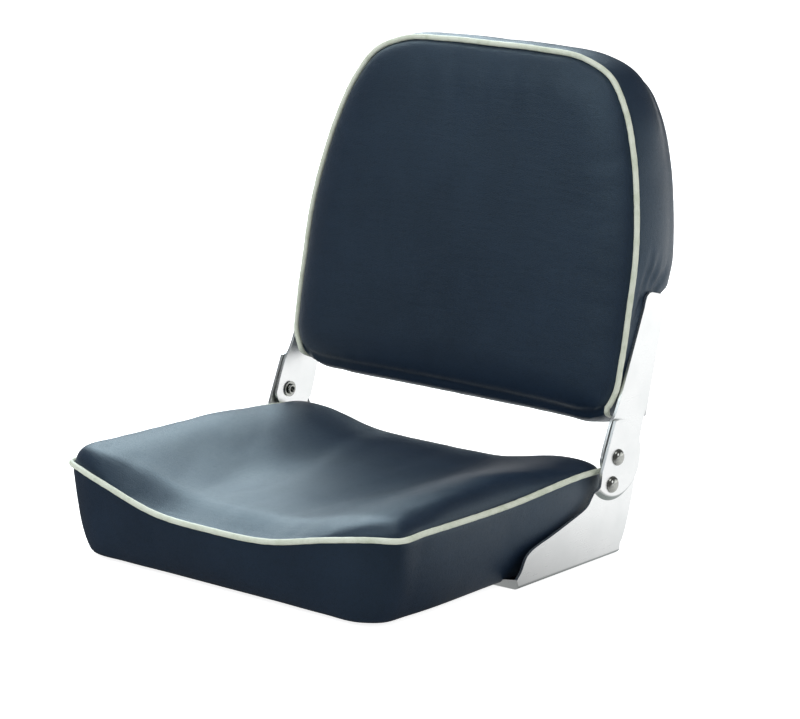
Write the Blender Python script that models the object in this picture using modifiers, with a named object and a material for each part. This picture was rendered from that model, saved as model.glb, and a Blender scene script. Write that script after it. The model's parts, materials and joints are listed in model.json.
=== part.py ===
"""Folding boat seat: an upholstered seat and a low backrest that folds down over it.

The seat's board carries two pressed aluminium brackets. Each holds an arm on a pivot rivet, and the
arm's heel rests on a stop rivet, which keeps the backrest up. Lengths are in metres, +Z is up, -Y is
the front, and the origin is the centre of the pedestal's bolt pattern on the board's underside.
"""
import math

import bmesh
import bpy
import numpy as np
from mathutils import Matrix, Vector

# Clearances and sheet thicknesses
GAP = 0.0003                # between pieces that touch
RUN = 0.0010                # between pieces that pass each other
OVERRUN = 0.0020            # how far a cutter passes the face that it cuts
VINYL = 0.0012              # thickness of the cover
SHEET = 0.0030              # thickness of the bracket and arm sheet

# Seat cushion
SEAT_HALF_WIDTH = 0.2000    # to the piping
SEAT_FRONT = -0.1610        # front corners of the piping
SEAT_REAR = 0.1600
SEAT_BOW = 0.0280           # how far the middle of the front edge stands out
SEAT_EDGE_HEIGHT = 0.0800   # piping above the board's underside, along the sides
SEAT_FRONT_DIP = 0.0200     # how far the front edge dips in the middle
SEAT_TROUGH_HEIGHT = 0.0715
SEAT_BOLSTER_HEIGHT = 0.0985
SEAT_REAR_RISE = 0.0050     # of the trough towards the back
SEAT_BOLSTER_FALL = 0.0090  # of the bolsters towards the back
TROUGH_HALF_WIDTH = 0.0650
BOLSTER_REACH = 0.1800      # from the middle to the bolster's crest
SEAT_ROLL = 0.0200          # width of the rolled edge inside the piping, along the sides
SEAT_END_ROLL = 0.0420      # and in the middle of the front and along the rear
SEAT_END_RUN = 0.0800       # how far from each end the edge is rolled so
SEAT_SIDE_BULGE = 0.0030
PIPING_RADIUS = 0.0028

# Seat board
BASE_TAPER = 0.0130         # how far the board's sides stand in from the piping
BASE_FRONT = -0.1710
BASE_REAR = 0.1590
BOARD_THICKNESS = 0.0120
HEM_WIDTH = 0.0140          # cover turned under the board
POCKET_DEPTH = 0.0080       # hollows between the ribs under the board
POCKET_PITCH = 0.0340
RIB = 0.0050
BOLT_SPACING = 0.1270       # pedestal pattern, square
PAD_HALF = 0.0780           # solid pad for the pedestal's plate
VENT_RADIUS = 0.0040

# Fasteners
PEDESTAL_THREAD_RADIUS = 0.0040
SCREW_RADIUS = 0.0030
SCREW_HEAD_RADIUS = 0.0058
SCREW_HEAD_HEIGHT = 0.0027
SCREW_LENGTH = 0.0110
DRIVE_WIDTH = 0.0012
DRIVE_DEPTH = 0.0014
INSERT_WALL = 0.0013
INSERT_FLANGE_RADIUS = 0.0100
INSERT_FLANGE_THICKNESS = 0.0012

# Pivot and stop
PIVOT_Y = 0.1500
PIVOT_Z = 0.0937
SIDE_CLEARANCE = 0.0012     # between the seat's piping and the hinge
EAR_STEP = 0.0046           # how far the bracket's ear is pressed outwards
EAR_RADIUS = 0.0360
JOGGLE = 0.0060             # width of the sloping ring round the ear
PIVOT_SHANK_RADIUS = 0.0040
RIVET_HEAD_RADIUS = 0.0080
RIVET_HEAD_HEIGHT = 0.0042
ROLL_RADIUS = 0.0054        # clinched end of a rivet
ROLL_BORE = 0.0026
ROLL_HEIGHT = 0.0024
WASHER_RADIUS = 0.0080
WASHER_THICKNESS = 0.0013
SPACER_RADIUS = 0.0110
STOP_DISTANCE = 0.0261      # from the pivot
STOP_ANGLE = math.radians(-109.0)
STOP_SHANK_RADIUS = 0.0028
STOP_BUSH_RADIUS = 0.0042

# Bracket under the seat
BRACKET_FRONT = 0.0030
BRACKET_REAR = 0.1620
BRACKET_FLANGE = 0.0580     # width under the board
BEND_RADIUS = 0.0050        # outside
BRACKET_SCREW_INSET = 0.0410
BRACKET_SCREW_SPACING = 0.0960

# Backrest cushion, in the frame of its front face
BACK_LEAN = math.radians(12.0)
BACK_SETBACK = -0.0040      # front face ahead of the pivot, at its height
BACK_BOTTOM = 0.0290        # up the face from the pivot
BACK_TOP = 0.3730
BACK_DEPTH = 0.0465         # at the bottom
REAR_LEAN = math.radians(3.04)
FRONT_CROWN = 0.0120
BACK_FULL_DEPTH = 0.0700    # where nothing presses the rear in
REAR_CROWN = 0.0040         # how far the rear's middle stands out beyond its sides
CROWN_ROLL = 0.0450         # width of the crown's rounded edge
BULGE_RUN = 0.0220          # run over which the rear swells out above the arms
BACK_BOARD_SHARE = 0.65     # how far the board reaches above the arms, of the way to the top
FLAT_MARGIN = 0.0140        # flat rear left beside the arms' flanges
BACK_CORNER = 0.0100        # rounding of the rear edge
BACK_NOSE = 0.0090          # rounding of the front edge along the bottom
BACK_BOARD_THICKNESS = 0.0060
BACK_BOARD_INSET = 0.0110

# Arm
ARM_NOSE_RADIUS = 0.0190    # in front of the pivot
HEEL_RADIUS = 0.0333
ARM_TOP = 0.1440            # above the pivot
ARM_FLANGE = 0.0380         # width behind the backrest
ARM_FLANGE_BOTTOM = 0.0400  # above the pivot
ARM_FLANGE_CORNER = 0.0080
ARM_SCREW_INSET = 0.0220

# Half of each cushion's outline, front or bottom centre to rear or top centre. The last value is the
# share of the front dip there.
SEAT_EDGE_SHARES = (
    (0.00, -1.00, 1.025), (0.35, -0.893, 0.95), (0.69, -0.679, 0.30), (0.905, -0.339, 0.00),
    (1.0175, 0.002, -0.05), (1.020, 0.109, -0.025), (1.005, 0.489, 0.10), (1.00, 0.869, -0.10),
    (0.970, 0.965, 0.10), (0.86, 1.00, 0.70), (0.45, 1.00, 0.95), (0.00, 1.00, 0.95),
)
BASE_EDGE_SHARES = (
    (0.00, 0.000), (0.342, 0.000), (0.663, -0.003), (0.888, 0.0045), (0.9706, 0.0424), (0.992, 0.127),
    (1.000, 0.500), (1.000, 0.879), (0.980, 0.965), (0.87, 1.00), (0.45, 1.00), (0.00, 1.00),
)
BACK_EDGE_SHARES = (
    (0.00, 0.000), (0.40, 0.000), (0.69, 0.000), (0.855, 0.008), (0.945, 0.034), (0.987, 0.085),
    (1.000, 0.170), (1.002, 0.320), (0.997, 0.470), (0.962, 0.610), (0.902, 0.750),
    (0.825, 0.860), (0.715, 0.945), (0.560, 0.985), (0.290, 0.999), (0.00, 1.000),
)
# How far each point of the backrest's outline is drawn in along the rolled bottom edge.
NOSE_SHARES = (1.0, 1.0, 1.0, 0.9, 0.55, 0.15, 0, 0, 0, 0, 0, 0, 0, 0, 0, 0)
# Depth of the backrest at each share of its height, of the full depth.
BACK_DEPTH_SHARES = ((0, 0.72), (0.10, 0.88), (0.22, 0.97), (0.45, 1), (0.65, 0.985), (0.80, 0.91),
                     (0.92, 0.83), (1, 0.79))
WELT_START_SHARE = 0.226    # of the half outline, where the backrest's piping starts

# Outlines in the side view, from the pivot, +Y to the rear: shares of the ear's radius, of the foot's
# reach ahead of the pivot, of the arm's height and of the heel's radius, and of the pivot's height
EAR_CUT_SHARES = ((-0.111, 0.972), (-0.667, -0.278), (-0.736, -0.667))
BRACKET_EDGE_SHARES = (
    (-0.2245, -0.352), (-0.2925, -0.448), (-0.476, -0.534), (-0.646, -0.603),
    (-0.823, -0.667), (-0.905, -0.736), (-0.952, -0.854),
)
BRACKET_BACK_SHARES = ((0.417, -0.896), (0.611, -0.736), (0.889, -0.384), (0.972, -0.0907))
ARM_FRONT_SHARES = ((-0.1285, 0), (-0.1028, 0.0764), (-0.0347, 0.2292), (0.0521, 0.3542), (0.3118, 0.9410))
ARM_FRONT_CORNER_SHARES = ((0.3319, 0.9757), (0.375, 1))
ARM_REAR_SHARES = ((1.4925, 1.0511), (1.3363, 0.6607), (1.1622, 0.0601), (0.991, -0.4204))
ARM_SCREW_SHARES = (0.486, 0.847)

COLUMNS = 46
ROUND_STEPS = 20
SMALL_STEPS = 12
ARC_STEPS = 12

BASE_HALF_WIDTH = SEAT_HALF_WIDTH - BASE_TAPER
ARM_OUTER = SEAT_HALF_WIDTH + PIPING_RADIUS + SIDE_CLEARANCE + SHEET
BACK_HALF_WIDTH = ARM_OUTER - SHEET - RUN
WEB_INNER = ARM_OUTER - SHEET
EAR_INNER = ARM_OUTER + EAR_STEP - SHEET
EAR_OUTER = ARM_OUTER + EAR_STEP
COVER = VINYL + GAP
WELT = PIPING_RADIUS + GAP
PIVOT = Vector((0, PIVOT_Y, PIVOT_Z))
FOOT_REACH = PIVOT_Y - BRACKET_FRONT
EAR_CUT = [(y * EAR_RADIUS, z * EAR_RADIUS) for y, z in EAR_CUT_SHARES]
BRACKET_EDGE = [(y * FOOT_REACH, z * PIVOT_Z) for y, z in BRACKET_EDGE_SHARES]
BRACKET_BACK = [(y * EAR_RADIUS, z * PIVOT_Z) for y, z in BRACKET_BACK_SHARES]
ARM_FRONT = [(y * ARM_TOP, z * ARM_TOP) for y, z in ARM_FRONT_SHARES]
ARM_FRONT_CORNER = [(y * ARM_TOP, z * ARM_TOP) for y, z in ARM_FRONT_CORNER_SHARES]
ARM_REAR = [(y * HEEL_RADIUS, z * HEEL_RADIUS) for y, z in ARM_REAR_SHARES]
ARM_SCREW_HEIGHTS = [share * ARM_TOP for share in ARM_SCREW_SHARES]
STOP = Vector((0, STOP_DISTANCE * math.cos(STOP_ANGLE), STOP_DISTANCE * math.sin(STOP_ANGLE)))
HALF_TURN = math.pi
QUARTER = math.pi / 2
TO_SIDE = Matrix(((0, 0, 1, 0), (1, 0, 0, 0), (0, 1, 0, 0), (0, 0, 0, 1)))
BACK_FRAME = (Matrix.Translation(PIVOT + Vector((0, BACK_SETBACK, 0)))
              @ Matrix.Rotation(-BACK_LEAN, 4, "X"))

VINYL_COLOUR = (0.016, 0.024, 0.038, 1)
PIPING_COLOUR = (0.56, 0.60, 0.50, 1)
ALUMINIUM = (0.80, 0.82, 0.83, 1)
STEEL = (0.62, 0.62, 0.60, 1)
FOAM_COLOUR = (0.78, 0.70, 0.46, 1)
PLASTIC = (0.03, 0.03, 0.032, 1)
NYLON = (0.82, 0.82, 0.78, 1)


# Scene and materials
def clear_scene():
    for obj in list(bpy.data.objects):
        bpy.data.objects.remove(obj, do_unlink=True)


def collection(name, hidden=False):
    made = bpy.data.collections.new(name)
    bpy.context.scene.collection.children.link(made)
    made.hide_render = hidden
    return made


clear_scene()
PARTS = collection("folding_boat_seat")
CUTTERS = collection("cutters", hidden=True)


def material(name, colour, roughness, metallic=0.0):
    made = bpy.data.materials.new(name)
    made.use_nodes = True
    shader = made.node_tree.nodes["Principled BSDF"]
    shader.inputs["Base Color"].default_value = colour
    shader.inputs["Roughness"].default_value = roughness
    shader.inputs["Metallic"].default_value = metallic
    made.diffuse_color = colour
    return made


def finish(obj, colour, roughness, metallic=0.0):
    """Gives a piece its own material."""
    obj.data.materials.clear()
    obj.data.materials.append(material(obj.name, colour, roughness, metallic))
    return obj


def as_cutter(obj):
    PARTS.objects.unlink(obj)
    CUTTERS.objects.link(obj)
    obj.hide_render = True
    obj.display_type = "WIRE"
    return obj


def boolean(obj, other, operation="DIFFERENCE"):
    made = obj.modifiers.new(other.name, "BOOLEAN")
    made.operation = operation
    made.object = as_cutter(other)
    return obj


def evaluated_mesh(obj, name):
    """The object's mesh in world space with its modifiers applied and loose caps welded."""
    bpy.context.view_layer.update()
    graph = bpy.context.evaluated_depsgraph_get()
    mesh = bpy.data.meshes.new_from_object(obj.evaluated_get(graph))
    mesh.name = name
    shape = bmesh.new()
    shape.from_mesh(mesh)
    bmesh.ops.remove_doubles(shape, verts=shape.verts, dist=GAP / 100)
    shape.transform(obj.matrix_world)
    shape.to_mesh(mesh)
    shape.free()
    return mesh


def mirrored(obj, name):
    """A left-hand copy of a right-hand piece."""
    mesh = evaluated_mesh(obj, name)
    shape = bmesh.new()
    shape.from_mesh(mesh)
    shape.transform(Matrix.Scale(-1, 4, (1, 0, 0)))
    bmesh.ops.reverse_faces(shape, faces=shape.faces)
    shape.to_mesh(mesh)
    shape.free()
    mesh.materials.clear()
    made = bpy.data.objects.new(name, mesh)
    PARTS.objects.link(made)
    return made


def smooth(obj, angle=35):
    obj.data.shade_smooth()
    obj.data.set_sharp_from_angle(angle=math.radians(angle))
    return obj


# Basic solids
def turned(name, profile, place, steps=ROUND_STEPS, closed=False):
    """A solid turned round its own Z from (radius, height) points that run down its outer side."""
    mesh = bpy.data.meshes.new(name)
    edges = [(i, i + 1) for i in range(len(profile) - 1)]
    if closed:
        edges.append((len(profile) - 1, 0))
    mesh.from_pydata([(r, 0, z) for r, z in profile], edges, [])
    obj = bpy.data.objects.new(name, mesh)
    PARTS.objects.link(obj)
    screw = obj.modifiers.new("turn", "SCREW")
    screw.axis = "Z"
    screw.angle = 2 * math.pi
    screw.steps = screw.render_steps = steps
    screw.use_merge_vertices = True
    screw.merge_threshold = GAP / 100
    screw.use_smooth_shade = True
    obj.matrix_world = place
    return obj


def outline_plate(name, outline, thickness, place):
    """A flat plate from a closed outline, centred on its own XY plane."""
    curve = bpy.data.curves.new(name, "CURVE")
    curve.dimensions = "2D"
    curve.fill_mode = "BOTH"
    curve.extrude = thickness / 2
    line = curve.splines.new("POLY")
    line.points.add(len(outline) - 1)
    for point, (x, y) in zip(line.points, outline):
        point.co = (x, y, 0, 1)
    line.use_cyclic_u = True
    guide = bpy.data.objects.new(name + "_outline", curve)
    guide.matrix_world = place
    PARTS.objects.link(guide)
    mesh = evaluated_mesh(guide, name)
    bpy.data.objects.remove(guide, do_unlink=True)
    obj = bpy.data.objects.new(name, mesh)
    PARTS.objects.link(obj)
    return obj


def side_plate(name, outline, inner, outer):
    """A plate between two X planes from an outline in the side view, relative to the pivot."""
    place = Matrix.Translation(PIVOT + Vector(((inner + outer) / 2, 0, 0))) @ TO_SIDE
    return outline_plate(name, outline, outer - inner, place)


def box(name, low, high):
    mesh = bpy.data.meshes.new(name)
    shape = bmesh.new()
    size = Vector(high) - Vector(low)
    middle = (Vector(high) + Vector(low)) / 2
    bmesh.ops.create_cube(shape, size=1, matrix=Matrix.Translation(middle) @ Matrix.Diagonal((*size, 1)))
    shape.to_mesh(mesh)
    shape.free()
    obj = bpy.data.objects.new(name, mesh)
    PARTS.objects.link(obj)
    return obj


def rod(name, radius, start, end, steps=SMALL_STEPS):
    """A plain cylinder between two points."""
    axis = Vector(end) - Vector(start)
    place = (Matrix.Translation((Vector(start) + Vector(end)) / 2)
             @ axis.to_track_quat("Z", "Y").to_matrix().to_4x4())
    mesh = bpy.data.meshes.new(name)
    shape = bmesh.new()
    bmesh.ops.create_cone(shape, cap_ends=True, segments=steps, radius1=radius, radius2=radius,
                          depth=axis.length, matrix=place)
    shape.to_mesh(mesh)
    shape.free()
    obj = bpy.data.objects.new(name, mesh)
    PARTS.objects.link(obj)
    return obj


def arc(centre, radius, start, end, steps=ARC_STEPS):
    """Points along an arc, its angles in radians from the outline's first axis."""
    angles = np.linspace(start, end, steps)
    return [(centre[0] + radius * math.cos(a), centre[1] + radius * math.sin(a)) for a in angles]


# Upholstery surfaces
def full_loop(half):
    """Mirrors the half outline, which starts and ends on the middle plane, into a closed one."""
    half = np.array(half, float)
    other = half[-2:0:-1].copy()
    other[:, 0] *= -1
    return np.vstack([half, other])


def along(loop, places):
    """Points at these places, counted in control points, on a smooth closed curve through the loop."""
    count = len(loop)
    following = np.roll(loop, -1, axis=0)
    chord = np.linalg.norm(following - loop, axis=1)[:, None]
    slope = (following - loop) / chord
    before = np.roll(slope, 1, axis=0)
    span = np.roll(chord, 1, axis=0)
    tangent = (slope * span + before * chord) / (span + chord)
    index = np.floor(places).astype(int) % count
    t = (np.asarray(places) - np.floor(places))[:, None]
    after = (index + 1) % count
    run = chord[index]
    return ((2 * t**3 - 3 * t**2 + 1) * loop[index] + (t**3 - 2 * t**2 + t) * run * tangent[index]
            + (3 * t**2 - 2 * t**3) * loop[after] + (t**3 - t**2) * run * tangent[after])


def ease(value):
    value = np.clip(value, 0, 1)
    return value * value * (3 - 2 * value)


def rounded(value):
    """Height share of a quarter round, from 0 at its edge to 1 where it has run out."""
    value = np.clip(value, 0, 1)
    return np.sqrt(1 - (1 - value)**2)


def inward(ring, distance):
    """Moves a flat ring's points in along their normals, in its first two coordinates."""
    tangent = np.roll(ring, -1, axis=0) - np.roll(ring, 1, axis=0)
    normal = np.stack([-tangent[:, 1], tangent[:, 0]], axis=1)
    normal /= np.linalg.norm(normal, axis=1)[:, None]
    moved = ring.copy()
    moved[:, :2] += normal * np.broadcast_to(distance, (len(ring),))[:, None]
    return moved


def shrunk(edge, middle, inset):
    """The ring's two coordinates this far in: square to the piping beside it, then towards the middle."""
    beside = inward(edge, WELT)
    reach = np.hypot(beside[:, 0], beside[:, 1] - middle)
    share = 1 - np.clip((inset - WELT) / reach, 0, 1)
    return beside[:, 0] * share, middle + (beside[:, 1] - middle) * share


def offset(grid, distance):
    """Moves a grid of rings in along its surface normals."""
    across = np.roll(grid, -1, axis=1) - np.roll(grid, 1, axis=1)
    up = np.gradient(grid, axis=0)
    normal = np.cross(across, up)
    length = np.linalg.norm(normal, axis=2)[:, :, None]
    normal = normal / np.where(length > 0, length, 1)
    for row, beside in ((0, 1), (-1, -2)):
        if not length[row].any():
            mean = normal[beside].mean(axis=0)
            normal[row] = mean / np.linalg.norm(mean)
    return grid - normal * distance


def surface(name, grid, keep, place=None):
    """A mesh of the grid's faces that keep(row, column) chooses. A ring with no size is one point."""
    mesh = bpy.data.meshes.new(name)
    shape = bmesh.new()
    rows = []
    for ring in grid:
        if np.ptp(ring, axis=0).max() < GAP / 10:
            rows.append([shape.verts.new(ring[0])] * len(ring))
        else:
            rows.append([shape.verts.new(point) for point in ring])
    count = len(grid[0])
    for r in range(len(grid) - 1):
        for c in range(count):
            if not keep(r, c):
                continue
            corners = [rows[r][c], rows[r][(c + 1) % count], rows[r + 1][(c + 1) % count], rows[r + 1][c]]
            shape.faces.new(list(dict.fromkeys(corners)))
    loose = [vert for vert in shape.verts if not vert.link_faces]
    bmesh.ops.delete(shape, geom=loose, context="VERTS")
    shape.to_mesh(mesh)
    shape.free()
    obj = bpy.data.objects.new(name, mesh)
    PARTS.objects.link(obj)
    obj.matrix_world = place or Matrix.Identity(4)
    mesh.shade_smooth()
    return obj


def skin(name, grid, keep, place=None):
    """A cover panel: a surface that Solidify thickens inwards."""
    obj = surface(name, grid, keep, place)
    shell = obj.modifiers.new("vinyl", "SOLIDIFY")
    shell.thickness = VINYL
    shell.offset = -1
    return finish(obj, VINYL_COLOUR, 0.42)


def solid(name, rings, place=None):
    """A closed body from rings, with a centre point closing each end."""
    first = np.repeat(rings[0].mean(axis=0)[None], len(rings[0]), axis=0)
    last = np.repeat(rings[-1].mean(axis=0)[None], len(rings[-1]), axis=0)
    grid = [first, *rings, last]
    return surface(name, grid, lambda row, column: True, place)


def welt(name, points, place, closed):
    """The piping: a vinyl-covered cord, bent along the points."""
    curve = bpy.data.curves.new(name, "CURVE")
    curve.dimensions = "3D"
    curve.bevel_depth = PIPING_RADIUS
    curve.bevel_resolution = 2
    curve.use_fill_caps = True
    line = curve.splines.new("POLY")
    line.points.add(len(points) - 1)
    for point, place_on in zip(line.points, points):
        point.co = (*place_on, 1)
    line.use_cyclic_u = closed
    obj = bpy.data.objects.new(name, curve)
    PARTS.objects.link(obj)
    obj.matrix_world = place
    return finish(obj, PIPING_COLOUR, 0.45)


def stations(half_count, extra=()):
    """Where the columns stand along a closed outline, counted in control points, alike left and right."""
    loop = 2 * (half_count - 1)
    return np.array(sorted({round(v, 6) for v in
                            [*np.linspace(0, loop, COLUMNS, endpoint=False), *extra]}))


# Seat cushion
def seat_edge(places):
    """The piping's centre line."""
    depth = SEAT_REAR - SEAT_FRONT
    loop = []
    for across, back, dip in SEAT_EDGE_SHARES:
        y = SEAT_FRONT + (depth * back if back > 0 else SEAT_BOW * back)
        loop.append((SEAT_HALF_WIDTH * across, y, SEAT_EDGE_HEIGHT - SEAT_FRONT_DIP * dip))
    return along(full_loop(loop), places)


def base_edge(places):
    """The lower edge of the cover, round the board."""
    depth = BASE_REAR - BASE_FRONT
    loop = [(BASE_HALF_WIDTH * across, BASE_FRONT + depth * back, 0) for across, back in BASE_EDGE_SHARES]
    return along(full_loop(loop), places)


def seat_top_height(x, y):
    """Height of the seat's crowned top away from its edge."""
    back = ease((y - SEAT_FRONT) / (SEAT_REAR - SEAT_FRONT))
    trough = SEAT_TROUGH_HEIGHT + SEAT_REAR_RISE * back
    crest = SEAT_BOLSTER_HEIGHT - SEAT_BOLSTER_FALL * ease(2 * back - 1)
    rise = ease((abs(x) - TROUGH_HALF_WIDTH) / (BOLSTER_REACH - TROUGH_HALF_WIDTH))
    return trough + (crest - trough) * rise


SEAT_MIDDLE = (SEAT_FRONT + SEAT_REAR) / 2
PAST_MIDDLE = 1.2           # an inset share that surely reaches the middle, where a ring closes


def seat_roll(x, y):
    """Width of the rolled edge there."""
    middle = 1 - ease(abs(x) / TROUGH_HALF_WIDTH - 1)
    ahead = middle * ease(2 - 2 * (y - SEAT_FRONT + SEAT_BOW) / SEAT_END_RUN)
    behind = ease(2 - 2 * (SEAT_REAR - y) / SEAT_END_RUN)
    return SEAT_ROLL + (SEAT_END_ROLL - SEAT_ROLL) * np.maximum(ahead, behind)


def seat_top_ring(edge, inset):
    """A ring of the seat's top, this far in from the piping."""
    x, y = shrunk(edge, SEAT_MIDDLE, inset)
    top = np.array([seat_top_height(a, b) for a, b in zip(x, y)])
    z = edge[:, 2] + (top - edge[:, 2]) * rounded((inset - WELT) / seat_roll(x, y))
    return np.stack([x, y, z], axis=1)


def seat_side_ring(base, edge, share):
    """A ring of the boxing, at this share of its height."""
    share = np.broadcast_to(share, (len(base),))
    ring_points = base + (edge - base) * share[:, None]
    return inward(ring_points, -SEAT_SIDE_BULGE * np.sin(HALF_TURN * share))


def seat_grid(places):
    """The cover's outer surface, from the hem under the board up to the middle of the top."""
    edge = seat_edge(places)
    base = base_edge(places)
    height = np.linalg.norm(edge - base, axis=1)
    reach = np.hypot(edge[:, 0], edge[:, 1] - SEAT_MIDDLE)
    run = np.roll(edge, -1, axis=0) - np.roll(edge, 1, axis=0)
    level = np.linalg.norm(run[:, :2], axis=1) / np.linalg.norm(run, axis=1)
    low = [inward(base, HEM_WIDTH), inward(base, VINYL)]
    sides = [seat_side_ring(base, edge, share) for share in (0.04, 0.50)]
    under_welt = [seat_side_ring(base, edge, 1 - (WELT + GAP) / (height * level))]
    over_welt = [seat_top_ring(edge, WELT)]
    top = [seat_top_ring(edge, WELT + SEAT_ROLL * share) for share in (0.2, 1.0)]
    inner = [seat_top_ring(edge, SEAT_ROLL + (reach - SEAT_ROLL) * share)
             for share in (0.16, 0.38, 0.65, PAST_MIDDLE)]
    return np.array([*low, *sides, *under_welt, *over_welt, *top, *inner])


SEAT_PLACES = stations(len(SEAT_EDGE_SHARES))
SEAT_UNDER_WELT = 4         # row of the grid just under the piping


def seat_cushion():
    grid = seat_grid(SEAT_PLACES)
    skin("seat_boxing", grid, lambda row, column: row < SEAT_UNDER_WELT)
    skin("seat_top_panel", grid, lambda row, column: row > SEAT_UNDER_WELT)
    inner = offset(grid, COVER)
    # The foam steps back from the piping that sits in the corner between the panels.
    for row in (SEAT_UNDER_WELT, SEAT_UNDER_WELT + 1):
        inner[row, :, :2] += (inward(inner[row], PIPING_RADIUS) - inner[row])[:, :2]
    inner[SEAT_UNDER_WELT, :, 2] -= PIPING_RADIUS / 2
    on_board = inward(base_edge(SEAT_PLACES), COVER)
    on_board[:, 2] = BOARD_THICKNESS + GAP
    foam = [on_board, *inner[3:]]
    foam[-1] = np.repeat(foam[-1].mean(axis=0)[None], len(foam[-1]), axis=0)
    middle = np.repeat(on_board.mean(axis=0)[None], len(on_board), axis=0)
    body = surface("seat_foam", [middle, *foam], lambda row, column: True)
    finish(body, FOAM_COLOUR, 0.9)
    welt("seat_piping", seat_edge(SEAT_PLACES), Matrix.Identity(4), closed=True)


# Seat board and its threaded inserts
def bolt_places():
    half = BOLT_SPACING / 2
    return [(x, y) for x in (-half, half) for y in (-half, half)]


def bracket_screw_places():
    """Right-hand screws, through the bracket's flange into the board."""
    x = ARM_OUTER - BRACKET_SCREW_INSET
    middle = (BRACKET_FRONT + BRACKET_REAR) / 2
    return [(x, middle - BRACKET_SCREW_SPACING / 2), (x, middle + BRACKET_SCREW_SPACING / 2)]


def insert(name, thread_radius, length, place):
    """A flanged threaded insert, its flange's face at its own Z zero and its barrel below."""
    bore = thread_radius + GAP
    barrel = bore + INSERT_WALL
    profile = [(bore, 0), (INSERT_FLANGE_RADIUS, 0), (INSERT_FLANGE_RADIUS, -INSERT_FLANGE_THICKNESS),
               (barrel, -INSERT_FLANGE_THICKNESS), (barrel, -length), (bore, -length)]
    return finish(turned(name, profile, place, SMALL_STEPS, closed=True), STEEL, 0.3, 1.0)


def insert_hole(name, thread_radius, place, through):
    """The stepped hole that an insert is pressed into, and its screw's way in."""
    barrel = thread_radius + 2 * GAP + INSERT_WALL
    flange = INSERT_FLANGE_RADIUS + GAP
    depth = INSERT_FLANGE_THICKNESS + GAP
    profile = [(0, OVERRUN), (flange, OVERRUN), (flange, -depth), (barrel, -depth),
               (barrel, -through), (0, -through)]
    return turned(name, profile, place, SMALL_STEPS)


def pocket_places():
    """Middles of the hollows under the board, clear of the pedestal's pad, the screws and the rim."""
    rim = HEM_WIDTH + RIB + POCKET_PITCH / 2
    reach_x = BASE_HALF_WIDTH - rim
    middle = (BASE_FRONT + BASE_REAR) / 2
    reach_y = (BASE_REAR - BASE_FRONT) / 2 - rim
    columns = int(reach_x / POCKET_PITCH)
    rows = int(reach_y / POCKET_PITCH)
    found = []
    for i in range(-columns, columns + 1):
        for j in range(-rows, rows + 1):
            x, y = i * POCKET_PITCH, middle + j * POCKET_PITCH
            by_pad = abs(x) < PAD_HALF + POCKET_PITCH / 2 and abs(y) < PAD_HALF + POCKET_PITCH / 2
            flange_edge = ARM_OUTER - BRACKET_FLANGE - POCKET_PITCH / 2
            by_bracket = abs(x) > flange_edge and y > BRACKET_FRONT - POCKET_PITCH / 2
            if not by_pad and not by_bracket:
                found.append((x, y))
    return found


def seat_board():
    base = base_edge(SEAT_PLACES)
    step = VINYL + 2 * GAP
    rings = [inward(base, inset) for inset in (HEM_WIDTH + GAP, HEM_WIDTH + GAP, COVER, COVER)]
    for ring, height in zip(rings, (0, step, step, BOARD_THICKNESS)):
        ring[:, 2] = height
    board = solid("seat_base_board", rings)
    top = Matrix.Translation((0, 0, BOARD_THICKNESS))
    reach = BOARD_THICKNESS + OVERRUN
    for number, (x, y) in enumerate(bolt_places(), 1):
        place = Matrix.Translation((x, y, 0)) @ top
        insert(f"pedestal_insert_{number}", PEDESTAL_THREAD_RADIUS, BOARD_THICKNESS - GAP, place)
        boolean(board, insert_hole(f"pedestal_hole_{number}", PEDESTAL_THREAD_RADIUS, place, reach))
    number = 0
    for x, y in bracket_screw_places():
        for side in (1, -1):
            number += 1
            place = Matrix.Translation((side * x, y, 0)) @ top
            insert(f"bracket_insert_{number}", SCREW_RADIUS, BOARD_THICKNESS - GAP, place)
            boolean(board, insert_hole(f"bracket_hole_{number}", SCREW_RADIUS, place, reach))
    half = (POCKET_PITCH - RIB) / 2
    for number, (x, y) in enumerate(pocket_places()):
        pocket = box(f"pocket_{number}", (x - half, y - half, -OVERRUN), (x + half, y + half, POCKET_DEPTH))
        boolean(board, pocket)
    vent = BOLT_SPACING / 2 + POCKET_PITCH
    for number, (x, y) in enumerate(((-vent, 0), (vent, 0))):
        boolean(board, rod(f"vent_{number}", VENT_RADIUS, (x, y, -OVERRUN), (x, y, BOARD_THICKNESS + OVERRUN)))
    finish(board, PLASTIC, 0.55)


# Screws
def screw(name, place, countersunk):
    """A cross-recess screw, its head's top at its own Z zero and its shank below."""
    if countersunk:
        head = [(0, 0), (SCREW_HEAD_RADIUS, 0), (SCREW_RADIUS, -SCREW_HEAD_HEIGHT)]
        start = 0
    else:
        side = SCREW_HEAD_HEIGHT / 2
        head = [(0, SCREW_HEAD_HEIGHT), (SCREW_HEAD_RADIUS / 2, SCREW_HEAD_HEIGHT - GAP),
                (SCREW_HEAD_RADIUS, side), (SCREW_HEAD_RADIUS, 0), (SCREW_RADIUS, 0)]
        start = SCREW_HEAD_HEIGHT
    profile = [*head, (SCREW_RADIUS, -SCREW_LENGTH), (0, -SCREW_LENGTH)]
    obj = turned(name, profile, place, SMALL_STEPS)
    arm = SCREW_HEAD_RADIUS / 2
    half = DRIVE_WIDTH / 2
    for number, (a, b) in enumerate(((arm, half), (half, arm))):
        slot = box(f"{name}_slot_{number}", (-a, -b, start - DRIVE_DEPTH), (a, b, start + OVERRUN))
        slot.matrix_world = place
        boolean(obj, slot)
    return finish(obj, STEEL, 0.28, 1.0)


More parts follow.
